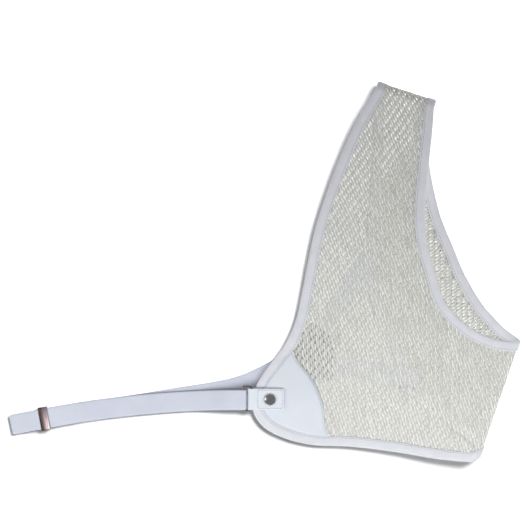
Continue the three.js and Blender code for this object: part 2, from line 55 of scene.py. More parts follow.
# Front ribs from the shoulder fold to the side fold: armhole end, outer end, their heights, and
# the share of the rib at which the vinyl patch starts
FRONT_COLUMNS = ("arm", "out", "arm_z", "out_z", "patch")
FRONT_RIBS = [dict(zip(FRONT_COLUMNS, row)) for row in (
    ((169.1, 162.7), (110.6, 181.7), FOLD_LEVEL, FOLD_LEVEL, 1),
    ((167, 135.5), (93, 152.5), 17.2, 15.6, 1),
    ((164, 107.5), (76.5, 116.5), 16.6, 13.4, 1),
    ((161.3, 81.5), (62.8, 80.5), 16.2, 11.6, 1),
    ((160.1, 59.5), (51.8, 46.5), 15.9, 10, 1),
    ((160.9, 38.5), (43.9, 11.5), 15.7, 8.8, 1),
    ((163.9, 21.5), (37.8, -20.5), 15.5, 7.8, 1),
    ((167.7, 8), (30.7, -50.5), 15.5, 7, 1),
    ((171.3, -4.5), (19.8, -73.5), 15.5, 6.4, 0.93),
    ((174.5, -16), (2, -97.5), 15.5, 6, 0.835),
    ((177.7, -25.5), (-10.2, -118.5), 15.5, 6, 0.745),
    ((181.8, -32.5), (-11.9, -138.5), 15.6, 6, 0.697),
    ((186.8, -39), (-2.5, -154.5), 15.8, 6, 0.702),
    ((192.8, -45.3), (16.5, -165.8), 16, 6, 0.759),
    ((200, -51.7), (45.5, -173.5), 16.2, 6.4, 0.887),
    ((209, -58.2), (87.5, -175.5), 16.6, 7.6, 1),
    ((221, -64.2), (132.5, -180.9), 17, 9.8, 1),
    ((234, -68.3), (172.5, -187.3), 17.6, 13.6, 1),
    ((246.5, -69.5), (204.7, -190.1), FOLD_LEVEL, FOLD_LEVEL, 1),
)]

# Back ribs from the side fold to the shoulder fold, all flat on the table: armhole end, outer end
BACK_RIBS = (
    ((248.5, -63), (210, -173.8)),
    ((240.5, -57), (195, -162.5)),
    ((230, -46), (176.5, -145)),
    ((221, -36), (159.5, -127.5)),
    ((212.5, -23.5), (142, -107)),
    ((205, -10.5), (125.5, -75.5)),
    ((199, 1), (114, -49.5)),
    ((194, 13), (106.2, -26.5)),
    ((188.5, 26.5), (102.8, -4.5)),
    ((182, 41.5), (102.1, 18.5)),
    ((176.8, 55.5), (102.8, 41.5)),
    ((172.7, 70.5), (104.7, 64.5)),
    ((169.1, 86.5), (107, 87.5)),
    ((165.7, 106.5), (108.7, 111.5)),
    ((164.7, 126.5), (109.9, 134.5)),
    ((166.5, 146.5), (110.5, 160)),
    ((169.1, 161.9), (110.6, 180.9)),
)

# Surface of the front that the net is laid on: its margin past the edges as a share of a rib, its columns,
# a level above all of it and a level near its middle
SURFACE_MARGIN, SURFACE_COLUMNS = 0.06, 57
SURFACE_ABOVE, SURFACE_MIDDLE = 100.0, 12.0

# Net: a ground with a row of holes along each half wale, and each row starts higher than the one before.
# A tile of the ground is an outline round one hole, counted in quarter wales and twentieths of a repeat
NET_WALE, NET_REPEAT, NET_PARTS, NET_RISE = 4.24, 8.65, 20, 6
NET_UNIT = np.array([NET_WALE / 4, NET_REPEAT / NET_PARTS])
NET_COLUMNS, NET_ROWS = (-24, 222), (-42, 33)
NET_TILE = np.array(((1, -10), (1, -4), (1, 3), (1, 10), (-1, 10), (-1, 4), (-1, -3), (-1, -10)))
NET_HOLES = np.array(((0.7, 2.25), (0.5, 1.75)))
NET_HOLE_TURNS = np.radians((-65, -20, 30, 65, 115, 160, 210, 245))
NET_HOLE_SLANT, NET_RIM = -0.19, 1.2
NET_TOP, NET_RIM_LEVEL, NET_HOLE_LEVEL, NET_BOTTOM = 0.3, 0.24, -0.05, -0.35
NET_HOLE_SPREAD, NET_HOLE_LIMITS = 0.08, (0.6, 1.4)
NET_LEVEL_SPREAD, NET_JITTER = 0.04, 0.06
NET_EDGE = 1.0
NET_SEAM_LAP, NET_SEAM_RISE = 3.0, 1.35
NET_SNAP_ROOM = (3.2, 6.2)

# Slow waves of the lattice, with their reach and their lengths over x and y, and the lean of its wales
NET_WANDER_X = ((0.45, 31.0, 9.1), (0.3, -12.5, 23.0))
NET_WANDER_Y = ((0.4, 8.3, 27.0), (0.3, 19.0, -14.0))
NET_LEAN, NET_LEAN_FROM = -0.000275, -50.0

# Yarn loop on each wale, from a hole of every second row: a thick stroke that leans, then a thinner
# tail beside the next stroke. Columns are place across and along the wale, half width and level
LOOP_FROM_HOLE = (NET_WALE / 4, -4.4)
LOOP = np.array((
    (-0.68, 3.85, 0.24, 0.12), (-0.62, 3.3, 0.52, 0.38), (-0.38, 1.4, 0.62, 0.42), (0.05, -0.8, 0.6, 0.42),
    (0.5, -2.95, 0.5, 0.4), (1.25, -4.1, 0.42, 0.34), (2.0, -5.2, 0.48, 0.37), (2.15, -6.5, 0.5, 0.37),
    (2.05, -7.8, 0.44, 0.33), (1.85, -8.6, 0.22, 0.12),
))
LOOP_SIDES, LOOP_FLATNESS, LOOP_SAMPLES = 6, 0.68, 28
LOOP_JITTER, LOOP_SHADE_SPREAD = 0.21, 0.1
LOOP_WIDTH_SPREAD, LOOP_WIDTH_LIMITS = 0.13, (0.7, 1.3)
LOOP_EDGE, LOOP_SHORTEST = 1.5, 2.5
LOOP_SNAP_ROOM = 2.8

# Binding tape: profile of its upper half from the lip to the folded edge, depth and height. The whole
# profile goes from the upper lip over the edge to the lower lip, and back inside
BINDING_WIDTH, BINDING_FLAT_WIDTH, BINDING_STEP = 10.0, 22.5, 1.5
BINDING_STITCH, BINDING_STITCH_LEVEL = 8.3, 1.38
BINDING_OUTER = np.array((
    (10.0, 1.1), (9.85, 1.42), (9.1, 1.55), (BINDING_STITCH, 1.4), (7.4, 1.66), (5.0, 1.88),
    (2.6, 1.93), (1.2, 1.8), (0.45, 1.4), (0.1, 0.75), (0.0, 0.0),
))
BINDING_INNER = np.array((
    (9.85, 0.8), (BINDING_STITCH, 0.74), (5.0, 1.0), (2.0, 1.05), (1.05, 0.6), (0.85, 0.0),
))
TURNED_OVER = (1, -1)
BINDING_PROFILE = np.concatenate([
    BINDING_OUTER, (BINDING_OUTER * TURNED_OVER)[-2::-1], BINDING_INNER * TURNED_OVER, BINDING_INNER[-2::-1],
])

# The tape puckers at each stitch in a dent along the row, and elsewhere sinks in slow waves, given as
# reach, length and start
BINDING_PUCKER, BINDING_DENT = 0.07, 0.9
BINDING_SINK, BINDING_WAVE_SHARE = 0.05, 0.5
BINDING_WAVES = ((0.12, 17.0, 0.0), (0.08, 7.3, 1.3))

# Stitches: pitch along the row and step of its path, then length, width and height of one stitch, and the
# share of its length, lift and size at each of its rings
STITCH_PITCH, STITCH_STEP = 3.0, 0.5
STITCH = (2.35, 0.62, 0.34)
STITCH_RINGS = np.array((
    (0.0, -0.55, 0.5), (0.12, 0.45, 0.95), (0.5, 0.75, 1.0), (0.88, 0.45, 0.95), (1.0, -0.55, 0.5),
))
STITCH_SIDES = 6

# Vinyl patch: levels over the net, fall by distance from the seam and from the tape, swell and stitches
PATCH_LOW, PATCH_HIGH, PATCH_GAP = 1.0, 1.92, 0.02
PATCH_SEAM = ((0.0, 0.12, 0.45, 1.2), (0.55, 0.22, 0.06, 0.0))
PATCH_TUCK = ((0.0, 0.8, 2.5), (0.45, 0.2, 0.0))
PATCH_SWELL, PATCH_SWELL_ROOM = 0.05, 20.0
PATCH_SWELL_PLACES, PATCH_SWELL_TURN = 5.0, 4.0
PATCH_SEAM_STITCH, PATCH_LEAST = 2.2, 0.8
PATCH_STEPS, PATCH_PLACE_STEP = 22, 0.5

# Tapes: width of their rounded edge as a share of the wall, then inset as a share of that width and level
# as a share of the wall
TAPE_EDGE, TAPE_ROUND_INSET, TAPE_ROUND_LEVEL = 0.45, 0.3, 0.36

# Folded tab: narrowing of its corners by distance from the end, and drop of its upper layer past the fold
TAB_LEFT, TAB_RIGHT, TAB_MIDDLE_Y = -14.4, 19.5, -127.7
TAB_WIDTH, TAB_WALL, TAB_LEVEL = 21.5, 1.0, 9.6
TAB_TURN = 1.8
TAB_END = ((0, 2.2), (0.15, 1.35), (0.6, 0.65), (1.3, 0.2), (2.2, 0))
TAB_DROP = ((2.2, 0.05), (5, 0.5), (8.5, 1))
TAB_UPPER = TAB_LEVEL + TAB_WALL + 0.3
TAB_STITCH_X, TAB_STITCH_INSET = -6.8, 1.7
TAB_STEP, TAB_COLUMNS = 0.8, 27
TAB_PRESS, TAB_PRESS_WIDTH = 0.26, 1.6

# Snap: flange as radius and level, rim as share of the cap's radius and height over its low edge, and dome
SNAP_X, SNAP_Y = 5.5, -127.9
SNAP_CAP_RADIUS, SNAP_CAP_HEIGHT = 6.25, 3.2
SNAP_CAP_LOW = TAB_LEVEL + 1.5 * TAB_WALL + 0.6
SNAP_SIDES = 64
SNAP_TIP, SNAP_POST = 0.01, 2.0
SNAP_FLANGE = ((SNAP_TIP, 3.9), (5.2, 3.9), (5.5, 4.1), (5.5, 4.7), (5.2, 4.9), (SNAP_POST, 4.9))
SNAP_RIM = ((0.86, 0.0), (0.95, 0.02), (0.99, 0.15), (1.0, 0.4), (0.99, 0.62))
SNAP_DOME_SHARE, SNAP_DOME_LOW = 0.985, 0.35
SNAP_DOME_FROM, SNAP_DOME_STEPS = 0.25, 16

# Wire ring between the tab and the strap
RING_LEFT = (-22.2, 9.0)
RING_RIGHT = (-12.9, 11.4)
RING_MIDDLE_Y = -126.9
RING_WIRE, RING_HALF_LENGTH, RING_CORNER = 1.0, 12.0, 2.4
RING_SIDES, RING_CORNER_STEPS = 16, 9

# Elastic strap: its lane on the table, its layers, its slider and its route
STRAP_WIDTH, STRAP_WALL = 20.0, 1.4
LANE_X, LANE_Y, LANE_SLOPE, LANE_BOW = -24.5, -128.5, 0.0077, 0.00045
LAYER = STRAP_WALL + 0.3
REAR_LEVEL = STRAP_WALL / 2
MIDDLE_LEVEL = REAR_LEVEL + LAYER
TOP_LEVEL = MIDDLE_LEVEL + LAYER
LEFT_FOLD_X = -252.2
STRAP_CORNER = 3.0
FOLD_TIP = LEFT_FOLD_X - LAYER - STRAP_WALL / 2 + STRAP_CORNER
RING_TURN_X, RING_TURN = -20.4, 2.0
SLIDER_X, SLIDER_LENGTH, SLIDER_WIDTH = -220.5, 9.4, 23.4
SLIDER_PLATE, SLIDER_SIDE = 1.0, 1.2
SLIDER_PEAK, SLIDER_RISE, SLIDER_FALL = 0.4, 0.7, 1.45
SLIDER_LOW = MIDDLE_LEVEL + STRAP_WALL / 2 + 0.3
SLIDER_INNER_LEVEL = SLIDER_LOW + SLIDER_PLATE + 0.3 + STRAP_WALL / 2
SLIDER_TOP_LEVEL = SLIDER_INNER_LEVEL + LAYER
SLIDER_HIGH = SLIDER_TOP_LEVEL + STRAP_WALL / 2 + 0.3 + SLIDER_PLATE
SLIDER_TURN_X = SLIDER_X - SLIDER_LENGTH / 2 + 0.2
SEWN_END_X = -198.5
RUN_STEP = 2.0
TURN_STEPS = 16
STRAP_COLUMNS, REAR_SAMPLES = 13, 400
SLIDER_OUTER_CORNER, SLIDER_INNER_CORNER = 1.1, 0.4
SLIDER_STATIONS, SLIDER_CORNER_STEPS = 17, 5
MIDDLE_RUN = (
    (-214.5, SLIDER_INNER_LEVEL), (-200, TOP_LEVEL), (-197, TOP_LEVEL), (-184, MIDDLE_LEVEL),
    (-75, MIDDLE_LEVEL), (LANE_X, RING_LEFT[1] - RING_TURN),
)
TOP_RUN = (
    (LANE_X, RING_LEFT[1] + RING_TURN), (-75, TOP_LEVEL), (-180, TOP_LEVEL), (-196, TOP_LEVEL + LAYER),
    (-213.5, SLIDER_TOP_LEVEL), (-227, SLIDER_TOP_LEVEL), (-250, TOP_LEVEL),
)
REAR_LANE = (
    (-250, -153.2), (-183.5, -141), (-134.5, -134.3), (-93.5, -127.7), (-28.5, -116.1),
    (-0.5, -104.8), (42, -80),
)

# Yoke behind the guard: bands from the grey patch up onto the back binding, and the patch's edge as
# inset and level
BAND_WIDTH, BAND_WALL = 20.0, 1.2
BAND_LAP_LEVEL = 4.9
BAND_COLUMNS, BAND_RISE_STEPS = 11, 13
BAND_STITCH_INSET, BAND_STITCH_ENDS = 2.0, (12.5, 2.5)
UPPER_BAND = ((50, -66.2), (84, -20.2), (92, -9.4), (111, 16.3))
LOWER_BAND = ((60, -93.7), (118, -101.8), (129, -103.3), (155, -106.9))
YOKE_LOW, YOKE_HIGH = 1.7, 2.7
YOKE_CORNERS = ((20.5, -83.5), (47.5, -50.5), (64.5, -62.5), (69.5, -80.5), (68.5, -108.5), (25.5, -109.5))
YOKE_ROUNDING, YOKE_CORNER_STEPS = 4.0, 6
YOKE_EDGE = ((0.4, YOKE_LOW), (0.0, YOKE_LOW + 0.25), (0.0, YOKE_HIGH - 0.3), (0.4, YOKE_HIGH))
YOKE_STITCH_INSET = 2.5

# Photograph: one pixel is one millimetre, and this pixel is the frame's origin
PHOTO_SIZE = 530
PHOTO_ORIGIN = (264.5, 271.5)
CAMERA_HEIGHT = 2200.0
CAMERA_FOCUS_LEVEL = 10.0
SENSOR = 36.0

# Floor in metres: half its side, and its level just under the part
FLOOR_REACH, FLOOR_LEVEL = 6.0, -0.0003


# Curves and lofts

def smooth_curve(points, shares):
    """Points at shares 0 to 1 of a centripetal Catmull-Rom curve through points."""
    points = np.asarray(points, float)
    spans = len(points) - 1
    ends = np.vstack([2 * points[0] - points[1], points, 2 * points[-1] - points[-2]])
    place = np.clip(shares, 0, 1) * spans
    first = np.minimum(place.astype(int), spans - 1)
    weight = (place - first)[:, None]
    p0, p1, p2, p3 = (ends[first + k] for k in range(4))
    pairs = ((p0, p1), (p1, p2), (p2, p3))
    d0, d1, d2 = (np.sqrt(np.linalg.norm(b - a, axis=1))[:, None] for a, b in pairs)
    start = ((p1 - p0) / d0 - (p2 - p0) / (d0 + d1) + (p2 - p1) / d1) * d1
    end = ((p2 - p1) / d1 - (p3 - p1) / (d1 + d2) + (p3 - p2) / d2) * d1
    bend = 3 * (p2 - p1) - 2 * start - end
    twist = 2 * (p1 - p2) + start + end
    return p1 + start * weight + bend * weight ** 2 + twist * weight ** 3


def unit(vectors):
    vectors = np.asarray(vectors, float)
    return vectors / np.maximum(np.linalg.norm(vectors, axis=-1, keepdims=True), 1e-12)


def ease(share):
    """A share from 0 to 1 that starts and ends gently."""
    return share * share * (3 - 2 * share)


def circle(sides):
    """Cosines and sines of even turns round a circle."""
    turns = 2 * np.pi * np.arange(sides) / sides
    return np.cos(turns), np.sin(turns)


def lengths_along(points):
    """Distance along a line of points, from its first point."""
    steps = np.linalg.norm(np.diff(points, axis=0), axis=1)
    return np.concatenate([[0], np.cumsum(steps)])


def read_along(wanted, along, rows):
    """Rows of values read off at the wanted distances along them."""
    return np.stack([np.interp(wanted, along, column) for column in rows.T], axis=-1)


def resample(points, step):
    """Points a given step apart along a line of points, both ends kept."""
    points = np.asarray(points, float)
    along = lengths_along(points)
    count = max(2, int(round(along[-1] / step)) + 1)
    return read_along(np.linspace(0, along[-1], count), along, points)


def quads_between(outer, inner):
    """Faces between matching rings of point numbers, one ring to a row."""
    quads = np.stack([outer, np.roll(outer, -1, 1), np.roll(inner, -1, 1), inner], axis=-1)
    return quads.reshape(-1, 4)


def loft(sections, loop=False):
    """Points, faces and lay (along, across) of closed sections joined in order."""
    sections = np.asarray(sections, float)
    count, size = sections.shape[:2]
    here = np.arange(count * size).reshape(count, size)
    there = np.roll(here, -1, axis=0)
    joins = count if loop else count - 1
    faces = quads_between(here[:joins], there[:joins]).tolist()
    if not loop:
        faces += [here[0, ::-1].tolist(), here[-1].tolist()]
    along = lengths_along(sections.mean(1))
    across = lengths_along(sections[0])
    lay = np.stack(np.meshgrid(along, across, indexing="ij"), axis=-1).reshape(-1, 2)
    return sections.reshape(-1, 3), faces, lay


def merged(shapes):
    """Several (points, faces, lay) shapes as one."""
    points, faces, lays, start = [], [], [], 0
    for shape in shapes:
        points.append(shape[0])
        lays.append(shape[2])
        faces.extend([i + start for i in face] for face in shape[1])
        start += len(shape[0])
    return np.concatenate(points), faces, np.concatenate(lays)


def facing_out(points, faces):
    """The faces, turned over where the closed shape they make is inside out."""
    corners = np.array([(face[0], face[k], face[k + 1]) for face in faces for k in range(1, len(face) - 1)])
    a, b, c = (points[corners[:, k]] for k in range(3))
    inside_out = np.sum(a * np.cross(b, c)) < 0
    return [face[::-1] for face in faces] if inside_out else faces


# Pieces

def add_object(name, data):
    """An object of the scene for a mesh, a light or a camera."""
    made = bpy.data.objects.new(name, data)
    bpy.context.scene.collection.objects.link(made)
    return made


def piece(name, shape, finish, nodes=()):
    """A smooth mesh in metres that rides on the part and stands for the named nodes."""
    points, faces, lay = shape
    mesh = bpy.data.meshes.new(name)
    mesh.from_pydata((points * MM).tolist(), [], facing_out(points, faces))
    mesh.polygons.foreach_set("use_smooth", [True] * len(mesh.polygons))
    spread = np.zeros((len(points), 3), np.float32)
    spread[:, :lay.shape[1]] = lay
    layer = mesh.attributes.new("lay", "FLOAT_VECTOR", "POINT")
    layer.data.foreach_set("vector", spread.ravel())
    mesh.materials.append(finish)
    mesh.validate()
    mesh.update()
    made = add_object(name, mesh)
    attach(made, "root")
    if nodes:
        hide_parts(*nodes)
    return made


# The panel: a closed ring of ribs over the front, the side fold, the back and the shoulder fold

def fold_frame(rib, hand):
    """Start, direction and outward direction in plan of the fold along a rib, from its armhole end."""
    start, end = np.array([*rib["arm"], 0.0]), np.array([*rib["out"], 0.0])
    along = unit(end - start)
    return start, along, hand * np.array([-along[1], along[0], 0.0])


SIDE_START, SIDE_ALONG, SIDE_OUTWARD = fold_frame(FRONT_RIBS[-1], 1)
SHOULDER_START, SHOULDER_ALONG, SHOULDER_OUTWARD = fold_frame(FRONT_RIBS[0], -1)


def round_fold(start, end, outside):
    """Points of a half-round fold between two points that lie over each other, which are left out."""
    angles = np.pi * np.arange(1, FOLD_STEPS) / FOLD_STEPS
    share = (angles / np.pi)[:, None]
    points = start + (end - start) * share + outside * FOLD_RADIUS * np.sin(angles)[:, None]
    points[:, 2] = start[2] + (end[2] - start[2]) * (1 - np.cos(angles)) / 2
    return points


def rib_curve(ends):
    return smooth_curve(ends, np.linspace(0, 1, (len(ends) - 1) * RIB_STEPS + 1))


def ring_edge(front_ends, back_ends):
    """One edge of the ring, through the rib ends of the front and the back and round both folds."""
    front, back = rib_curve(front_ends), rib_curve(back_ends)
    side = round_fold(front[-1], back[0], SIDE_OUTWARD)
    shoulder = round_fold(back[-1], front[0], SHOULDER_OUTWARD)
    return np.concatenate([front, side, back, shoulder])


RING_ARM = ring_edge(
    [(*row["arm"], row["arm_z"]) for row in FRONT_RIBS],
    [(*arm, BACK_LEVEL) for arm, out in BACK_RIBS],
)
RING_OUT = ring_edge(
    [(*row["out"], row["out_z"]) for row in FRONT_RIBS],
    [(*out, BACK_LEVEL) for arm, out in BACK_RIBS],
)
RING_COUNT = len(RING_ARM)
FRONT_END = (len(FRONT_RIBS) - 1) * RIB_STEPS
BACK_START = FRONT_END + FOLD_STEPS
BACK_END = BACK_START + (len(BACK_RIBS) - 1) * RIB_STEPS


def rib_ends(place):
    low = np.floor(place).astype(int)
    weight = (place - low)[..., None]
    here, there = low % RING_COUNT, (low + 1) % RING_COUNT
    arm = RING_ARM[here] * (1 - weight) + RING_ARM[there] * weight
    out = RING_OUT[here] * (1 - weight) + RING_OUT[there] * weight
    return arm, out


def on_panel(place, share):
    """Points of the panel's middle surface at ring places and shares from armhole to outer edge."""
    arm, out = rib_ends(place)
    points = arm + (out - arm) * share[..., None]
    points[..., 2] = out[..., 2] + (arm[..., 2] - out[..., 2]) * np.maximum(1 - share, 0) ** DRAPE
    return points


def outward(place, share):
    """The panel's outward direction: up on the front, down on the back."""
    nudge = 0.01
    across = on_panel(place, share + nudge) - on_panel(place, share - nudge)
    around = on_panel(place + 1, share) - on_panel(place - 1, share)
    return unit(np.cross(across, around))


def raised(place, share, height):
    height = np.broadcast_to(np.asarray(height, float), np.shape(place))
    return on_panel(place, share) + outward(place, share) * height[..., None]


def share_inside(place, edge, depth):
    """The share of a rib that lies a depth inside its armhole edge (0) or outer edge (1)."""
    arm, out = rib_ends(place)
    rib = out - arm
    length = np.linalg.norm(rib, axis=-1)
    tangent = unit(rib_ends(place + 1)[edge] - rib_ends(place - 1)[edge])
    slant = np.linalg.norm(np.cross(tangent, rib), axis=-1) / length
    share = depth / (length * np.maximum(slant, LOWEST_SLANT))
    return share if edge == 0 else 1 - share


def edge_walk(edge, step):
    """Ring places a step apart along one whole edge of the panel, and the distance at each."""
    ends = (RING_ARM, RING_OUT)[edge]
    along = lengths_along(np.vstack([ends, ends[:1]]))
    count = int(round(along[-1] / step))
    wanted = np.arange(count) * along[-1] / count
    return np.interp(wanted, along, np.arange(RING_COUNT + 1)), wanted


# Net

def net_warp(flat):
    """The lattice's slow wander and the lean of its wales towards the shoulder."""
    x, y = flat[:, 0], flat[:, 1]

    def wander(waves):
        return sum(reach * np.sin(x / over_x + y / over_y) for reach, over_x, over_y in waves)

    lean = NET_LEAN * np.maximum(y - NET_LEAN_FROM, 0) ** 2
    return np.stack([x + lean + wander(NET_WANDER_X), y + wander(NET_WANDER_Y)], axis=1)


def inside(points, polygon):
    """Which points lie inside a polygon, by the even-odd rule."""
    x, y = points[:, 0], points[:, 1]
    hits = np.zeros(len(points), bool)
    for (x0, y0), (x1, y1) in zip(polygon, np.roll(polygon, -1, axis=0)):
        if y0 != y1:
            crosses = (y0 > y) != (y1 > y)
            hits ^= crosses & (x < x0 + (y - y0) * (x1 - x0) / (y1 - y0))
    return hits


def distance_to(points, line):
    """Least distance from each point to an open line of points."""
    least = np.full(len(points), np.inf)
    for a, b in zip(line[:-1], line[1:]):
        span = b - a
        share = np.clip(((points - a) @ span) / max(span @ span, 1e-12), 0, 1)
        least = np.minimum(least, np.linalg.norm(points - a - share[:, None] * span, axis=1))
    return least


def depth_inside(points, arm, out):
    """Depth of plan points inside a panel between its two edges, or -1 outside it."""
    least = np.minimum(distance_to(points, arm), distance_to(points, out))
    return np.where(inside(points, np.concatenate([arm, out[::-1]])), least, -1)


def unrolled(ends, start, along, outside, past):
    """Rib ends laid flat at the given distances past a fold line."""
    way = (ends - start) @ along
    flat = start + way[:, None] * along + past[:, None] * outside
    return flat[:, :2]


def flat_outlines():
    """Armhole and outer edges of the front with its folds, and of the back, laid flat."""
    side_fold = (SIDE_START, SIDE_ALONG, SIDE_OUTWARD)
    shoulder_fold = (SHOULDER_START, SHOULDER_ALONG, SHOULDER_OUTWARD)
    past = FOLD_RADIUS * np.pi * np.arange(FOLD_STEPS + 1) / FOLD_STEPS
    edges = {}
    for name, ends in (("arm", RING_ARM), ("out", RING_OUT)):
        side = unrolled(ends[FRONT_END:BACK_START + 1], *side_fold, past)
        shoulder = unrolled(np.concatenate([ends[BACK_END:], ends[:1]]), *shoulder_fold, past[::-1])
        edges["front_" + name] = np.concatenate([shoulder[:-1], ends[:FRONT_END, :2], side])
        back = ends[BACK_START:BACK_END + 1]
        edges["back_" + name] = unrolled(back, *side_fold, past[-1] - (back - SIDE_START) @ SIDE_OUTWARD)
    return edges


def front_surface():
    """A mesh tree of the front's middle surface, a little past its edges."""
    places = np.arange(FRONT_END + 1, dtype=float)
    shares = np.linspace(-SURFACE_MARGIN, 1 + SURFACE_MARGIN, SURFACE_COLUMNS)
    points = on_panel(*np.meshgrid(places, shares, indexing="ij")).reshape(-1, 3)
    grid = np.arange(len(points)).reshape(len(places), len(shares))
    quads = np.stack([grid[:-1, :-1], grid[1:, :-1], grid[1:, 1:], grid[:-1, 1:]], axis=-1)
    return BVHTree.FromPolygons(points.tolist(), quads.reshape(-1, 4).tolist())


def front_levels(flat, tree):
    """Height of the front's middle surface over each plan point."""
    levels = np.zeros(len(flat))
    for i, (x, y) in enumerate(flat):
        hit = tree.ray_cast(Vector((x, y, SURFACE_ABOVE)), Vector((0, 0, -1)))[0]
        if hit is None:
            hit = tree.find_nearest(Vector((x, y, SURFACE_MIDDLE)))[0]
        levels[i] = hit.z
    return levels


def on_cloth(flat, tree):
    """Points and outward directions of the net for points of the flat cloth."""
    points = np.column_stack([flat, np.zeros(len(flat))])
    normals = np.tile(UP, (len(flat), 1))
    turn = np.pi * FOLD_RADIUS
    past_side = (points - SIDE_START) @ SIDE_OUTWARD
    past_shoulder = (points - SHOULDER_START) @ SHOULDER_OUTWARD
    on_front = (past_side <= 0) & (past_shoulder <= 0)
    points[on_front, 2] = front_levels(flat[on_front], tree)
    for past, outside in ((past_side, SIDE_OUTWARD), (past_shoulder, SHOULDER_OUTWARD)):
        turning = (past > 0) & (past <= turn)
        angle = past[turning] / FOLD_RADIUS
        shift = FOLD_RADIUS * np.sin(angle) - past[turning]
        points[turning] += shift[:, None] * outside
        points[turning, 2] = FOLD_LEVEL - FOLD_RADIUS * (1 - np.cos(angle))
        normals[turning] = np.sin(angle)[:, None] * outside + np.cos(angle)[:, None] * UP
        behind = past > turn
        points[behind] += (turn - 2 * past[behind])[:, None] * outside
        points[behind, 2] = BACK_LEVEL
        normals[behind] = -UP
    lap = np.clip((past_shoulder - turn) / (2 * NET_SEAM_LAP) + 1, 0, 1)
    points[:, 2] += NET_SEAM_RISE * ease(lap)
    return points, normals


def net_lattice():
    """Whole numbers of the hole centres on the flat cloth, in the units of a tile."""
    columns, rows = np.meshgrid(np.arange(*NET_COLUMNS), np.arange(*NET_ROWS), indexing="ij")
    level = NET_PARTS * rows + (NET_RISE * columns + NET_PARTS // 2) % NET_PARTS
    return np.column_stack([2 * columns.ravel(), level.ravel()])


def net_holes(lattice, chance):
    """Outlines of the holes, one to a row, from the centre of each."""
    sizes = NET_HOLES[lattice[:, 0] // 2 % 2][:, None]
    hole = np.column_stack([np.cos(NET_HOLE_TURNS), np.sin(NET_HOLE_TURNS)]) * sizes
    hole = hole * chance.normal(1, NET_HOLE_SPREAD, (len(lattice), 1, 1)).clip(*NET_HOLE_LIMITS)
    hole[..., 0] += NET_HOLE_SLANT * hole[..., 1]
    return hole


def net_ground(lattice, tree, chance):
    """A closed sheet of tiles round the holes of the lattice."""
    count, ring = len(lattice), len(NET_TILE)
    corners = (lattice[:, None] + NET_TILE).reshape(-1, 2)
    keys, outline = np.unique(corners, axis=0, return_inverse=True)
    outline = outline.reshape(count, ring)
    hole = net_holes(lattice, chance)
    centres = (lattice * NET_UNIT)[:, None]
    shared = keys * NET_UNIT + chance.normal(0, NET_JITTER, keys.shape)
    rims, edges = ((centres + size * hole).reshape(-1, 2) for size in (NET_RIM, 1))
    flat = net_warp(np.concatenate([shared, rims, edges]))
    levels = np.repeat((NET_TOP, NET_RIM_LEVEL, NET_HOLE_LEVEL), (len(keys), len(rims), len(edges)))
    levels = levels + chance.normal(0, NET_LEVEL_SPREAD, len(levels))
    flat = np.concatenate([flat, flat[:len(keys)]])
    levels = np.concatenate([levels, np.full(len(keys), NET_BOTTOM)])
    points, normals = on_cloth(flat, tree)
    rim = len(keys) + np.arange(count * ring).reshape(count, ring)
    edge = rim + count * ring
    under = outline + len(keys) + 2 * count * ring
    sides = quads_between(outline, under)
    met = np.unique(np.sort(sides[:, :2], axis=1), axis=0, return_inverse=True)[1].ravel()
    alone = sides[np.bincount(met)[met] == 1]
    bands = [quads_between(*pair) for pair in ((outline, rim), (rim, edge), (edge, under))]
    faces = np.concatenate([*bands, alone[:, ::-1]]).tolist()
    # The third value of lay is each point's level, which the net's colour turns into painted shade
    lay = np.column_stack([flat, np.abs(levels)])
    return points + normals * levels[:, None], faces, lay


def net_loops(starts, tree, allowed, side, chance):
    """Yarn loops on the cloth's face (side 1) or reverse (side -1), cut to where they are allowed."""
    along = lengths_along(LOOP[:, :2])
    fine = np.linspace(0, along[-1], LOOP_SAMPLES)
    starts = starts + chance.normal(0, LOOP_JITTER, starts.shape)

    def plan(roots, ways):
        return net_warp((roots[:, None] + read_along(ways, along, LOOP[:, :2])).reshape(-1, 2))

    free = allowed(plan(starts, np.tile(fine, (len(starts), 1)))).reshape(len(starts), -1)
    begin = fine[free.argmax(1)]
    end = fine[LOOP_SAMPLES - 1 - free[:, ::-1].argmax(1)]
    kept = free.any(1) & (end - begin > LOOP_SHORTEST)
    starts, begin, end = starts[kept], begin[kept, None], end[kept, None]
    ways = begin + (end - begin) * along / along[-1]
    flat = plan(starts, ways)
    width, level = (np.interp(ways, along, column)[..., None] for column in LOOP[:, 2:].T)
    width = width * chance.normal(1, LOOP_WIDTH_SPREAD, (len(starts), 1, 1)).clip(*LOOP_WIDTH_LIMITS)
    shade = chance.normal(0, LOOP_SHADE_SPREAD, (len(starts), 1, 1))
    points, normals = (rows.reshape(*ways.shape, 3) for rows in on_cloth(flat, tree))
    up = side * normals
    across = unit(np.cross(up, unit(np.gradient(points, axis=1))))
    cosines, sines = circle(LOOP_SIDES)
    reach = width * cosines
    rise = level + LOOP_FLATNESS * width * sines
    rings = points[:, :, None] + reach[..., None] * across[:, :, None] + rise[..., None] * up[:, :, None]
    loops, faces = merged([loft(loop) for loop in rings])[:2]
    # The third value of lay is each point's height on its loop plus the loop's random tone, which the net's
    # colour turns into painted shade
    lay = np.column_stack([np.repeat(flat, LOOP_SIDES, axis=0), np.maximum(rise + shade, 0).ravel()])
    return loops, faces, lay


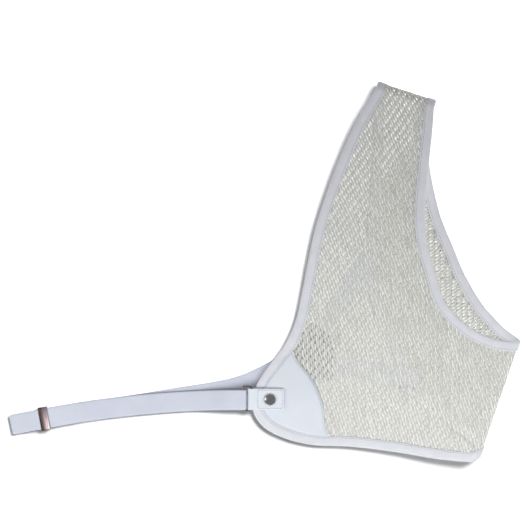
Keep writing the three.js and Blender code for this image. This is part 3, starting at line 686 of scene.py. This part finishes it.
def net_panel(name, nodes, sides, rests_on, arm, out, tree, finish):
    """A panel of net between its two flat edges, with loops on the given sides of the cloth."""
    chance = np.random.default_rng(SEED)
    snap = np.array([SNAP_X, SNAP_Y])
    lattice = net_lattice()
    holes = net_warp(lattice * NET_UNIT)
    snap_clear = np.linalg.norm((holes - snap) / NET_SNAP_ROOM, axis=1) > 1
    kept = (depth_inside(holes, arm, out) > NET_EDGE) & snap_clear
    corners = net_warp(((lattice[kept, None] + NET_TILE) * NET_UNIT).reshape(-1, 2))
    kept[kept] = (depth_inside(corners, arm, out).reshape(-1, len(NET_TILE)) > NET_EDGE).all(1)
    ground = piece("net_" + name, net_ground(lattice[kept], tree, chance), finish, nodes)

    def loop_allowed(points):
        far = np.linalg.norm(points - snap, axis=1) > LOOP_SNAP_ROOM
        return (depth_inside(points, arm, out) > LOOP_EDGE) & far

    outline = np.concatenate([arm, out[::-1]])
    low, high = outline.min(0) - NET_REPEAT, outline.max(0) + NET_REPEAT
    starts = lattice[lattice[:, 0] % 4 == 0] * NET_UNIT + LOOP_FROM_HOLE
    places = net_warp(starts)
    near = np.all((places > low) & (places < high), axis=1)
    yarn = merged([net_loops(starts[near], tree, loop_allowed, side, chance) for side in sides])
    loops = piece("net_" + name + "_loops", yarn, finish)
    return [ground, loops]


def make_net(finish):
    """The front net with its folds and the back net, cut from one lattice, with the loops on them."""
    edges, tree = flat_outlines(), front_surface()
    rows = (
        ("front", ("front_net", "side_net", "shoulder_net"), (1,), ["net_back"]),
        ("back", ("back_net",), (1, -1), []),
    )
    made = []
    for row in rows:
        arm, out = (edges[row[0] + end] for end in ("_arm", "_out"))
        made += net_panel(*row, arm, out, tree, finish)
    return made


# Stitches

def stitch_row(path, normals, loop=False):
    """Stitches along a line of points on a surface with the given normals."""
    length, width, height = STITCH
    if loop:
        path, normals = np.vstack([path, path[:1]]), np.vstack([normals, normals[:1]])
    along = lengths_along(path)
    count = max(1, int(along[-1] / STITCH_PITCH))
    pitch = along[-1] / count
    starts = (np.arange(count) + 0.5) * pitch - length / 2
    shares, lifts, sizes = STITCH_RINGS.T
    wanted = starts[:, None] + shares * length
    middle = read_along(wanted, along, path)
    up = unit(read_along(wanted, along, normals))
    ahead = unit(middle[:, -1] - middle[:, 0])[:, None]
    side = np.cross(ahead, up)
    cosines, sines = (np.outer(sizes, part)[..., None] / 2 for part in circle(STITCH_SIDES))
    rise = height * (lifts[:, None, None] + sines)
    rings = middle[:, :, None] + side[:, :, None] * width * cosines + up[:, :, None] * rise
    return merged([loft(stitch) for stitch in rings])


def stitch_row_up(path):
    """Stitches along a line of points, facing up."""
    return stitch_row(path, np.tile(UP, (len(path), 1)))


def stitch_line(corners, level_at):
    """Stitches along straight runs between corners, facing up at the level found for each x."""
    rows = []
    for a, b in zip(corners[:-1], corners[1:]):
        path = resample([(*a, 0.0), (*b, 0.0)], STITCH_STEP)
        path[:, 2] = level_at(path[:, 0])
        rows.append(stitch_row_up(path))
    return merged(rows)


# Binding tape

def make_binding(name, edge, finish, thread):
    """Folded tape round one whole edge of the panel, with a row of stitches on each face."""
    places, along = edge_walk(edge, BINDING_STEP)
    pucker = BINDING_PUCKER * np.cos(2 * np.pi * along / STITCH_PITCH)
    waves = sum(reach * np.sin(along / wave + start) for reach, wave, start in BINDING_WAVES)
    columns = []
    for depth, height in BINDING_PROFILE:
        share = share_inside(places, edge, depth)
        pressed = math.exp(-((depth - BINDING_STITCH) / BINDING_DENT) ** 2)
        sunk = BINDING_SINK + BINDING_WAVE_SHARE * np.abs(waves) * (1 - pressed)
        rise = height + np.sign(height) * (pucker * pressed - sunk)
        columns.append(raised(places, share, rise))
    shape = loft(np.stack(columns, axis=1), loop=True)
    nodes = [side + "_" + name for side in ("front", "side", "back", "shoulder")]
    tape = piece(name, shape, finish, nodes)
    share = share_inside(places, edge, BINDING_STITCH)
    rows = []
    for sign in (1, -1):
        path = raised(places, share, sign * BINDING_STITCH_LEVEL)
        rows.append(stitch_row(path, sign * outward(places, share), loop=True))
    stitches = piece(name + "_stitches", merged(rows), thread)
    return tape


# Vinyl patch

def patch_rows():
    """Ring places of the patch, its shares at the seam and at the tape, and the length of each rib."""
    places = np.arange(0, FRONT_END + PATCH_PLACE_STEP, PATCH_PLACE_STEP)
    starts = [(i, row["patch"], 0) for i, row in enumerate(FRONT_RIBS)]
    seam = smooth_curve(starts, places / FRONT_END)[:, 1]
    end = share_inside(places, 1, BINDING_WIDTH + PATCH_GAP)
    arm, out = rib_ends(places)
    length = np.linalg.norm(out - arm, axis=1)
    kept = (end - seam) * length > PATCH_LEAST
    return places[kept], seam[kept], end[kept], length[kept]


def make_patch(finish, thread):
    """The smooth corner sewn on the front net, rounded at its seam and tucked in at the tape."""
    places, seam, end, length = patch_rows()
    room = (end - seam) * length
    reach = PATCH_SWELL * np.minimum(room / PATCH_SWELL_ROOM, 1)
    upper, lower = [], []
    for way in np.linspace(0, 1, PATCH_STEPS):
        distance = room * way
        share = seam + distance / length
        fall = np.interp(distance, *PATCH_SEAM) + np.interp(room - distance, *PATCH_TUCK)
        swell = reach * np.sin(places / PATCH_SWELL_PLACES + way * PATCH_SWELL_TURN)
        upper.append(raised(places, share, PATCH_HIGH - fall + swell))
        lower.append(raised(places, share, PATCH_LOW))
    sections = np.stack(upper + lower[::-1], axis=1)
    points, faces = loft(sections)[:2]
    patch = piece("front_patch_vinyl", (points, faces, points[:, :2]), finish, ["front_patch"])
    wide = room > 2 * PATCH_SEAM_STITCH
    share = seam[wide] + PATCH_SEAM_STITCH / length[wide]
    path = raised(places[wide], share, PATCH_HIGH + PATCH_GAP)
    row = stitch_row(path, outward(places[wide], share))
    stitches = piece("patch_stitches", row, thread)
    a, b = upper[0], upper[-1]
    area = np.linalg.norm(np.cross(b[1:] - a[:-1], b[:-1] - a[1:]), axis=1).sum() / 2


# Flat tapes: strap, tab and bands

def tape_profile(width, wall, columns):
    """Offsets across a tape and levels of its faces, with rounded edges."""
    half, edge = width / 2, wall * TAPE_EDGE
    inset, level = half - TAPE_ROUND_INSET * edge, TAPE_ROUND_LEVEL * wall
    flat = np.linspace(edge - half, half - edge, columns)
    top = np.column_stack([flat, np.full(columns, wall / 2)])
    right = np.array([(inset, level), (half, 0.0), (inset, -level)])
    return np.concatenate([top, right, -top, -right])


def tape_shape(points, across, widths, wall, columns):
    """A tape along middle points, with level directions across it and its width at each."""
    face = unit(np.cross(unit(np.gradient(points, axis=0)), across))
    sections = []
    for point, side, up, width in zip(points, across, face, widths):
        profile = tape_profile(width, wall, columns)
        sections.append(point + profile[:, :1] * side + profile[:, 1:] * up)
    return loft(sections)


def half_turn(x, z, radius, facing, rising):
    """Points of a half turn in the vertical plane that bulges to one side."""
    angles = np.pi * np.arange(TURN_STEPS + 1) / TURN_STEPS
    height = -np.cos(angles) if rising else np.cos(angles)
    return [(x + facing * radius * math.sin(a), z + radius * h) for a, h in zip(angles, height)]


def eased_route(rows):
    """A route through (x, z) rows with its level changes eased, in short steps."""
    route = [rows[0]]
    for (x0, z0), (x1, z1) in zip(rows[:-1], rows[1:]):
        count = max(1, int(round(abs(x1 - x0) / RUN_STEP)))
        for k in range(1, count + 1):
            share = k / count
            route.append((x0 + (x1 - x0) * share, z0 + (z1 - z0) * ease(share)))
    return np.array(route)


def lane_y(x):
    run = LANE_X - x
    return LANE_Y - LANE_SLOPE * run - LANE_BOW * run * run


def lane_across(x):
    slope = LANE_SLOPE + 2 * LANE_BOW * (LANE_X - x)
    return unit(np.stack([-slope, np.ones_like(slope), np.zeros_like(slope)], axis=-1))


def level_across(points):
    """Level directions to the left of a line of points."""
    ahead = np.gradient(points, axis=0)
    return unit(np.stack([-ahead[:, 1], ahead[:, 0], np.zeros(len(points))], axis=1))


def make_strap(finish):
    """The elastic strap from the slider to the ring, back to the far fold and on to the yoke."""
    turn_z = (MIDDLE_LEVEL + SLIDER_INNER_LEVEL) / 2
    turn_radius = (SLIDER_INNER_LEVEL - MIDDLE_LEVEL) / 2
    rows = [(SEWN_END_X, MIDDLE_LEVEL)]
    rows += half_turn(SLIDER_TURN_X, turn_z, turn_radius, -1, True)
    rows += MIDDLE_RUN
    rows += half_turn(RING_TURN_X, RING_LEFT[1], RING_TURN, 1, True)
    rows += TOP_RUN
    rows += half_turn(LEFT_FOLD_X, MIDDLE_LEVEL, LAYER, -1, False)
    route = eased_route(rows)
    x = route[:, 0]
    run = np.stack([x, lane_y(x), route[:, 1]], axis=1)
    rear = smooth_curve([(*row, REAR_LEVEL) for row in REAR_LANE], np.linspace(0, 1, REAR_SAMPLES))
    rear = resample(rear, RUN_STEP)
    points = np.concatenate([run, rear])
    across = np.concatenate([lane_across(x), level_across(rear)])
    past = np.clip((FOLD_TIP - points[:, 0]) / STRAP_CORNER, 0, 1)
    widths = STRAP_WIDTH - 2 * STRAP_CORNER * (1 - np.sqrt(1 - past ** 2))
    shape = tape_shape(points, across, widths, STRAP_WALL, STRAP_COLUMNS)
    strap = piece("elastic_strap", shape, finish, ["strap"])


def make_band(name, rows, finish, thread):
    """A yoke band from the grey patch along the table and up onto the back binding."""
    start, foot, top, end = np.array(rows, float)
    low, high = BAND_WALL / 2, BAND_LAP_LEVEL
    shares = np.linspace(0, 1, BAND_RISE_STEPS)
    first = resample([start, foot], RUN_STEP)[:-1]
    last = resample([top, end], RUN_STEP)[1:]
    plan = np.concatenate([first, foot + (top - foot) * shares[:, None], last])
    rise = low + (high - low) * ease(shares)
    level = np.concatenate([np.full(len(first), low), rise, np.full(len(last), high)])
    points = np.column_stack([plan, level])
    widths = np.full(len(points), BAND_WIDTH)
    shape = tape_shape(points, level_across(points), widths, BAND_WALL, BAND_COLUMNS)
    band = piece(name + "_elastic", shape, finish, [name])
    ahead = unit(end - top)
    side = (BAND_WIDTH / 2 - BAND_STITCH_INSET) * np.array([-ahead[1], ahead[0]])
    near, far = (end - inset * ahead for inset in BAND_STITCH_ENDS)
    corners = [near - side, near + side, far + side, far - side, near - side, far + side]
    rows = stitch_line(corners, lambda x: high + BAND_WALL / 2)
    stitches = piece(name + "_stitches", rows, thread)


def tab_route():
    """The tab as (x, z) rows from its lower end round the ring to its upper end, and its upper slope alone."""
    turn_z = TAB_LEVEL + TAB_TURN
    top = turn_z + TAB_TURN
    lower = [(TAB_RIGHT - start, TAB_LEVEL) for start, less in TAB_END]
    upper = [(TAB_RIGHT - start, TAB_UPPER) for start, less in reversed(TAB_END)]
    drop = [(TAB_LEFT + start, top + (TAB_UPPER - top) * share) for start, share in TAB_DROP]
    turn = half_turn(TAB_LEFT, turn_z, TAB_TURN, -1, True)
    lower_run = resample([lower[-1], turn[0]], TAB_STEP)[1:-1]
    upper_run = resample([drop[-1], upper[0]], TAB_STEP)[1:-1]
    rows = np.array([*lower, *lower_run, *turn, *drop, *upper_run, *upper])
    return rows, np.array([*drop, *upper])


def tab_stitch_box(slope):
    """Stitches round the snap, on the slope of the tab's upper layer."""
    reach = TAB_WIDTH / 2 - TAB_STITCH_INSET
    left, right = TAB_STITCH_X, TAB_RIGHT - TAB_STITCH_INSET
    low, high = TAB_MIDDLE_Y - reach, TAB_MIDDLE_Y + reach
    corners = [(left, high), (left, low), (right, low), (right, high), (left, high)]
    return stitch_line(corners, lambda x: np.interp(x, *slope.T) + TAB_WALL / 2)


def make_tab(finish, thread):
    """The vinyl strip folded round the ring, pressed in round the snap."""
    rows, slope = tab_route()
    widths = np.full(len(rows), TAB_WIDTH)
    for k, (start, less) in enumerate(TAB_END):
        widths[[k, -1 - k]] -= 2 * less
    points = np.column_stack([rows[:, 0], np.full(len(rows), TAB_MIDDLE_Y), rows[:, 1]])
    across = np.tile([0.0, 1.0, 0.0], (len(rows), 1))
    skin, faces, lay = tape_shape(points, across, widths, TAB_WALL, TAB_COLUMNS)
    far = np.hypot(skin[:, 0] - SNAP_X, skin[:, 1] - SNAP_Y)
    pressed = TAB_PRESS * np.exp(-((far - SNAP_CAP_RADIUS) / TAB_PRESS_WIDTH) ** 2)
    skin[:, 2] -= np.where(skin[:, 2] > TAB_UPPER, pressed, 0)
    tab = piece("strap_tab_vinyl", (skin, faces, lay), finish, ["strap_tab"])
    stitches = piece("tab_stitches", tab_stitch_box(slope), thread)


# Yoke patch

def rounded_outline(corners, radius):
    """A polygon with its corners rounded by short curves."""
    outline = []
    for before, here, after in zip(np.roll(corners, 1, axis=0), corners, np.roll(corners, -1, axis=0)):
        a, b = here + radius * unit(before - here), here + radius * unit(after - here)
        for t in np.linspace(0, 1, YOKE_CORNER_STEPS):
            outline.append((1 - t) ** 2 * a + 2 * t * (1 - t) * here + t * t * b)
    return np.array(outline)


def make_yoke_patch(finish, thread):
    """The grey piece that joins the strap and the two bands, stitched round its edge."""
    outline = rounded_outline(np.array(YOKE_CORNERS), YOKE_ROUNDING)
    inward = unit(outline.mean(0) - outline)

    def shrunk(inset, level):
        return np.column_stack([outline + inset * inward, np.full(len(outline), level)])

    points, faces = loft([shrunk(*row) for row in YOKE_EDGE])[:2]
    patch = piece("yoke_patch_vinyl", (points, faces, points[:, :2]), finish, ["yoke_patch"])
    seam = shrunk(YOKE_STITCH_INSET, YOKE_HIGH)
    row = stitch_row_up(resample(np.vstack([seam, seam[:1]]), STITCH_STEP))
    stitches = piece("yoke_stitches", row, thread)


# Metal: snap, ring and slider

def make_snap(finish):
    """The closed snap: a rolled cap, its post through tab, patch and net, and the flange behind."""
    rim = np.array(SNAP_RIM) * (SNAP_CAP_RADIUS, 1) + (0, SNAP_CAP_LOW)
    angles = np.linspace(SNAP_DOME_FROM, np.pi / 2, SNAP_DOME_STEPS)[:-1]
    dome_radius = SNAP_DOME_SHARE * SNAP_CAP_RADIUS * np.cos(angles)
    dome_level = SNAP_CAP_LOW + SNAP_DOME_LOW + (SNAP_CAP_HEIGHT - SNAP_DOME_LOW) * np.sin(angles)
    dome = np.column_stack([dome_radius, dome_level])
    post, tip = (SNAP_POST, SNAP_CAP_LOW), (SNAP_TIP, SNAP_CAP_LOW + SNAP_CAP_HEIGHT)
    profile = np.vstack([SNAP_FLANGE, post, rim, dome, tip])
    turns = np.column_stack([*circle(SNAP_SIDES), np.zeros(SNAP_SIDES)])
    rings = [(SNAP_X, SNAP_Y, level) + radius * turns for radius, level in profile]
    return piece("snap_fastener", loft(rings), finish, ["snap"])


def make_ring(finish):
    """The rectangular wire ring, tilted down from the tab to the strap."""
    run, rise = np.subtract(RING_RIGHT, RING_LEFT)
    span = math.hypot(run, rise)
    cosines, sines = (part[:, None] for part in circle(RING_SIDES))
    sections = []
    for quarter, (sx, sy) in enumerate(((1, 1), (-1, 1), (-1, -1), (1, -1))):
        corner = np.array([sx * (span / 2 - RING_CORNER), sy * (RING_HALF_LENGTH - RING_CORNER), 0])
        for share in np.linspace(0, 1, RING_CORNER_STEPS):
            angle = np.pi / 2 * (quarter + share)
            out = np.array([math.cos(angle), math.sin(angle), 0])
            sections.append(corner + out * RING_CORNER + RING_WIRE * (cosines * out + sines * UP))
    points, faces, lay = loft(sections, loop=True)
    axes = np.array([(run / span, 0, rise / span), (0, 1, 0), (-rise / span, 0, run / span)])
    x, z = np.add(RING_LEFT, RING_RIGHT) / 2
    piece("wire_ring", ((x, RING_MIDDLE_Y, z) + points @ axes, faces, lay), finish, ["ring"])


def make_slider(finish):
    """The slider: a flat sleeve round the strap with a crowned upper plate."""
    angles = np.linspace(0, np.pi / 2, SLIDER_CORNER_STEPS)
    rounding = np.column_stack([np.cos(angles), np.sin(angles)])

    def sleeve(half, low, high, corner, crown):
        loops = []
        for station in np.linspace(-1, 1, SLIDER_STATIONS):
            reach = (1 + SLIDER_PEAK) if station < SLIDER_PEAK else (1 - SLIDER_PEAK)
            fall = SLIDER_FALL * ((station - SLIDER_PEAK) / reach) ** 2
            top = high + crown * (SLIDER_RISE - fall)
            loop = []
            for sx, base, sz in ((1, low, -1), (1, top, 1), (-1, top, 1), (-1, low, -1)):
                centre = np.array([sx * (half - corner), base - sz * corner])
                arc = centre + corner * rounding * (sx, sz)
                loop.extend(arc if sx * sz > 0 else arc[::-1])
            loops.append([(station * SLIDER_LENGTH / 2, y, z) for y, z in loop])
        return loops

    half = SLIDER_WIDTH / 2
    outer = sleeve(half, SLIDER_LOW, SLIDER_HIGH, SLIDER_OUTER_CORNER, 1)
    inner_low, inner_high = SLIDER_LOW + SLIDER_PLATE, SLIDER_HIGH - SLIDER_PLATE
    inner = sleeve(half - SLIDER_SIDE, inner_low, inner_high, SLIDER_INNER_CORNER, 0)
    points, faces = loft(outer + inner[::-1], loop=True)[:2]
    across = lane_across(np.array([SLIDER_X]))[0]
    axes = np.array([np.cross(across, UP), across, UP])
    turned = (SLIDER_X, lane_y(SLIDER_X), 0) + points @ axes
    piece("strap_slider", (turned, faces, points[:, :2]), finish, ["slider"])


# Materials

def colour(red, green, blue):
    """A colour given as it looks on screen, 0 to 255, as linear light."""
    def linear(value):
        value /= 255
        return value / 12.92 if value <= 0.04045 else ((value + 0.055) / 1.055) ** 2.4
    return (linear(red), linear(green), linear(blue), 1.0)


class Finish:
    """A Principled material with helpers for its textures."""

    def __init__(self, name, roughness, metallic=0.0, specular=0.5, sheen=0.0):
        self.material = bpy.data.materials.new(name)
        self.material.use_nodes = True
        self.tree = self.material.node_tree
        self.shader = self.tree.nodes["Principled BSDF"]
        self.shader.inputs["Roughness"].default_value = roughness
        self.shader.inputs["Metallic"].default_value = metallic
        self.shader.inputs["Specular IOR Level"].default_value = specular
        self.shader.inputs["Sheen Weight"].default_value = sheen

    def add(self, kind, settings, inputs):
        node = self.tree.nodes.new(kind)
        for key, value in settings.items():
            setattr(node, key, value)
        for key, value in inputs.items():
            if isinstance(value, bpy.types.NodeSocket):
                self.tree.links.new(value, node.inputs[key])
            else:
                node.inputs[key].default_value = value
        return node

    def lay(self):
        """Distance along and across a tape, in millimetres."""
        return self.add("ShaderNodeAttribute", {"attribute_name": "lay"}, {}).outputs["Vector"]

    def place(self):
        """Place in the part, in metres."""
        return self.add("ShaderNodeTexCoord", {}, {}).outputs["Object"]

    def noise(self, vector, scale, detail):
        inputs = {"Vector": vector, "Scale": scale, "Detail": detail}
        return self.add("ShaderNodeTexNoise", {}, inputs).outputs["Fac"]

    def cells(self, vector, scale):
        inputs = {"Vector": vector, "Scale": scale}
        return self.add("ShaderNodeTexVoronoi", {}, inputs).outputs["Distance"]

    def bands(self, vector, direction, pitch, distortion):
        """Bands a pitch apart in the vector's own units."""
        settings = {"wave_type": "BANDS", "bands_direction": direction}
        inputs = {"Vector": vector, "Scale": math.pi / (10 * pitch), "Distortion": distortion, "Detail": 1.0}
        return self.add("ShaderNodeTexWave", settings, inputs).outputs["Fac"]

    def sum(self, first, second, weight):
        """first + weight * second"""
        inputs = {0: second, 1: weight, 2: first}
        return self.add("ShaderNodeMath", {"operation": "MULTIPLY_ADD"}, inputs).outputs[0]

    def paint(self, factor, low, high):
        """Base colour between two colours by a factor."""
        node = self.add("ShaderNodeMix", {"data_type": "RGBA"}, {0: factor, 6: low, 7: high})
        self.tree.links.new(node.outputs[2], self.shader.inputs["Base Color"])

    def polish(self, factor, low, high):
        """Roughness between two values by a factor."""
        node = self.add("ShaderNodeMapRange", {}, {"Value": factor, "To Min": low, "To Max": high})
        self.tree.links.new(node.outputs[0], self.shader.inputs["Roughness"])

    def bump(self, height, strength, depth_mm):
        inputs = {"Height": height, "Strength": strength, "Distance": depth_mm * MM}
        node = self.add("ShaderNodeBump", {}, inputs)
        self.tree.links.new(node.outputs[0], self.shader.inputs["Normal"])


def net_finish():
    """White yarn with painted shade, lighter on the crests of the wales than in the ground between them and
    lighter on top of each loop, with random tone.
    """
    finish = Finish("net_yarn", 0.75, specular=0.3, sheen=0.25)
    lay, place = finish.lay(), finish.place()
    height = finish.add("ShaderNodeSeparateXYZ", {}, {"Vector": lay}).outputs["Z"]
    # Painted shade: the yarn's colour is lighter the higher it stands on the cloth or on its loop
    inputs = {"Value": height, "From Min": 0.25, "From Max": 0.85, "To Min": -0.1, "To Max": 0.75}
    painted_crest_shade = finish.add("ShaderNodeMapRange", {}, inputs).outputs[0]
    broad = finish.noise(place, 55, 4)
    grain = finish.noise(place, 600, 2)
    yarn = finish.noise(place, 3200, 2)
    shade = finish.sum(finish.sum(painted_crest_shade, broad, 0.08), grain, 0.7)
    finish.paint(shade, colour(173, 173, 167), colour(247, 247, 242))
    finish.bump(yarn, 0.6, 0.15)
    return finish.material


def tape_finish():
    finish = Finish("binding_weave", 0.68, specular=0.35, sheen=0.2)
    lay, place = finish.lay(), finish.place()
    ribs = finish.bands(lay, "X", 0.62, 0.6)
    threads = finish.bands(lay, "Y", 0.35, 0.6)
    broad = finish.noise(place, 70, 4)
    finish.paint(finish.sum(broad, ribs, 0.2), colour(212, 214, 220), colour(229, 230, 235))
    finish.bump(finish.sum(ribs, threads, 0.5), 0.5, 0.1)
    return finish.material


def vinyl_finish(name, dark, light):
    finish = Finish(name, 0.42, specular=0.5)
    place = finish.place()
    grain = finish.cells(place, 1500)
    fine = finish.noise(place, 2600, 3)
    broad = finish.noise(place, 60, 3)
    finish.paint(broad, dark, light)
    finish.polish(fine, 0.36, 0.5)
    finish.bump(finish.sum(grain, fine, 0.4), 0.22, 0.08)
    return finish.material


def grey_vinyl_finish():
    finish = Finish("grey_backing", 0.7, specular=0.3)
    place = finish.place()
    warp = finish.bands(place, "X", 0.0006, 0.5)
    weft = finish.bands(place, "Y", 0.0006, 0.5)
    broad = finish.noise(place, 120, 4)
    finish.paint(broad, colour(128, 130, 136), colour(160, 161, 166))
    finish.bump(finish.sum(warp, weft, 1.0), 0.5, 0.1)
    return finish.material


def elastic_finish():
    finish = Finish("elastic_knit", 0.66, specular=0.35, sheen=0.15)
    lay, place = finish.lay(), finish.place()
    ribs = finish.bands(lay, "Y", 1.05, 0.3)
    weft = finish.bands(lay, "X", 0.55, 0.8)
    broad = finish.noise(place, 40, 4)
    finish.paint(finish.sum(broad, ribs, 0.15), colour(198, 202, 216), colour(213, 217, 229))
    finish.bump(finish.sum(ribs, weft, 0.45), 0.4, 0.12)
    return finish.material


def thread_finish():
    # Thread painted grey, darker than the white tape, as painted shade along the stitched rows, with random
    # tone from its twist
    finish = Finish("thread_painted_grey", 0.6, specular=0.4)
    place = finish.place()
    twist = finish.noise(place, 4200, 1)
    finish.paint(twist, colour(176, 178, 188), colour(208, 210, 219))
    finish.bump(twist, 0.5, 0.08)
    return finish.material


def metal_finish(name, dark, light, smooth, rough, scratch):
    finish = Finish(name, smooth, metallic=1.0)
    place = finish.place()
    wear = finish.noise(place, 260, 5)
    fine = finish.noise(place, 1800, 2)
    finish.paint(wear, dark, light)
    finish.polish(fine, smooth, rough)
    finish.bump(fine, scratch, 0.02)
    return finish.material


def painted_reflection_slider_finish():
    """Plating with a painted reflection: dark at the end away from the ring and lighter towards it, with
    random wear.
    """
    finish = Finish("slider_painted_reflection", 0.3, metallic=1.0)
    lay, place = finish.lay(), finish.place()
    along = finish.add("ShaderNodeSeparateXYZ", {}, {"Vector": lay}).outputs["X"]
    reach = SLIDER_LENGTH / 2
    inputs = {"Value": along, "From Min": -0.55 * reach, "From Max": 0.75 * reach}
    shade = finish.add("ShaderNodeMapRange", {"interpolation_type": "SMOOTHSTEP"}, inputs).outputs[0]
    wear = finish.noise(place, 500, 4)
    # Painted reflection: the colour runs from dark to light along the slider, with wear on top
    finish.paint(finish.sum(shade, wear, 0.08), colour(58, 44, 42), colour(172, 156, 158))
    finish.polish(wear, 0.26, 0.38)
    finish.bump(wear, 0.15, 0.02)
    return finish.material


# Object

net = net_finish()
tape = tape_finish()
# The patch and the tab are one vinyl in two tones: the tab's is painted lighter, as painted light
vinyl = vinyl_finish("white_vinyl", colour(209, 215, 223), colour(220, 225, 231))
tab_vinyl = vinyl_finish("tab_vinyl", colour(215, 221, 229), colour(227, 232, 239))
grey_vinyl = grey_vinyl_finish()
elastic = elastic_finish()
thread = thread_finish()
nickel = metal_finish("polished_nickel", colour(214, 210, 208), colour(236, 232, 230), 0.22, 0.34, 0.15)
dark_nickel = metal_finish("dark_nickel", colour(84, 72, 70), colour(132, 117, 114), 0.24, 0.36, 0.2)

nets = make_net(net)
armhole = make_binding("armhole_binding", 0, tape, thread)
make_binding("outer_binding", 1, tape, thread)
make_patch(vinyl, thread)
make_tab(tab_vinyl, thread)
snap = make_snap(nickel)
make_ring(dark_nickel)
make_strap(elastic)
make_slider(painted_reflection_slider_finish())
make_band("upper_band", UPPER_BAND, elastic, thread)
make_band("lower_band", LOWER_BAND, elastic, thread)
make_yoke_patch(grey_vinyl, thread)


# Stage, light and camera

def make_floor():
    finish = Finish("pale_floor", 0.9, specular=0.1)
    broad = finish.noise(finish.place(), 3, 2)
    finish.paint(broad, (0.93, 0.93, 0.93, 1), (0.95, 0.95, 0.95, 1))
    finish.shader.inputs["Emission Color"].default_value = (1, 1, 1, 1)
    finish.shader.inputs["Emission Strength"].default_value = 0.05
    signs = ((-1, -1), (1, -1), (1, 1), (-1, 1))
    corners = [(x * FLOOR_REACH, y * FLOOR_REACH, 0) for x, y in signs]
    mesh = bpy.data.meshes.new("floor")
    mesh.from_pydata(corners, [], [(0, 1, 2, 3)])
    mesh.materials.append(finish.material)
    made = add_object("floor", mesh)
    made.location.z = FLOOR_LEVEL
    return made


def linked(name, objects, left_out):
    """A collection that links a light to the given objects, or to all but them."""
    group = bpy.data.collections.new(name)
    for item in objects:
        group.objects.link(item)
    for entry in group.collection_objects:
        entry.light_linking.link_state = "EXCLUDE" if left_out else "INCLUDE"
    return group


def area_light(name, place, target, size, power, floor_only=False, through=(), skips=()):
    """A soft box that lights only the floor, or all but the floor and the pieces it skips.

    The pieces that it goes through don't shade it.
    """
    light = bpy.data.lights.new(name, "AREA")
    light.shape = "RECTANGLE"
    light.size, light.size_y = size
    light.energy = power
    holder = add_object(name, light)
    holder.location = place
    holder.rotation_mode = "QUATERNION"
    holder.rotation_quaternion = (Vector(target) - Vector(place)).to_track_quat("-Z", "Y")
    linking = holder.light_linking
    linking.receiver_collection = linked(name + "_lights", [floor, *skips], not floor_only)
    if through:
        linking.blocker_collection = linked(name + "_passes", through, True)


def make_camera():
    """Straight down, with one millimetre to a pixel of the photograph."""
    camera = bpy.data.cameras.new("camera")
    camera.sensor_width = SENSOR
    camera.lens = SENSOR * (CAMERA_HEIGHT - CAMERA_FOCUS_LEVEL) / PHOTO_SIZE
    camera.clip_end = 20.0
    holder = add_object("camera", camera)
    x = PHOTO_SIZE / 2 - PHOTO_ORIGIN[0]
    y = PHOTO_ORIGIN[1] - PHOTO_SIZE / 2
    holder.location = (x * MM, y * MM, CAMERA_HEIGHT * MM)
    bpy.context.scene.camera = holder


def make_world():
    world = bpy.data.worlds.new("soft_room")
    world.use_nodes = True
    background = world.node_tree.nodes["Background"]
    background.inputs["Color"].default_value = (0.93, 0.95, 1.0, 1)
    background.inputs["Strength"].default_value = 0.19
    bpy.context.scene.world = world


floor = make_floor()
area_light("floor_key", (1.2, 0.95, 2.38), (0, 0, 0), (1.0, 1.0), 79, floor_only=True)
area_light("floor_fill", (1.2, 0.95, 2.38), (0, 0, 0), (1.0, 1.0), 38.5, floor_only=True, through=nets)
area_light("main", (-0.1, -0.34, 0.5), (-0.1, -0.27, 0), (1.2, 0.35), 3.75,
           through=[*nets, armhole], skips=[snap])
area_light("left", (-1.1, -0.05, 0.7), (0, -0.1, 0), (0.3, 0.6), 2.0, through=nets)
area_light("right", (1.0, -0.2, 0.8), (0.1, -0.1, 0), (0.5, 0.5), 3.4, through=nets, skips=[snap])
make_camera()
make_world()
bpy.context.scene.view_settings.view_transform = "Standard"
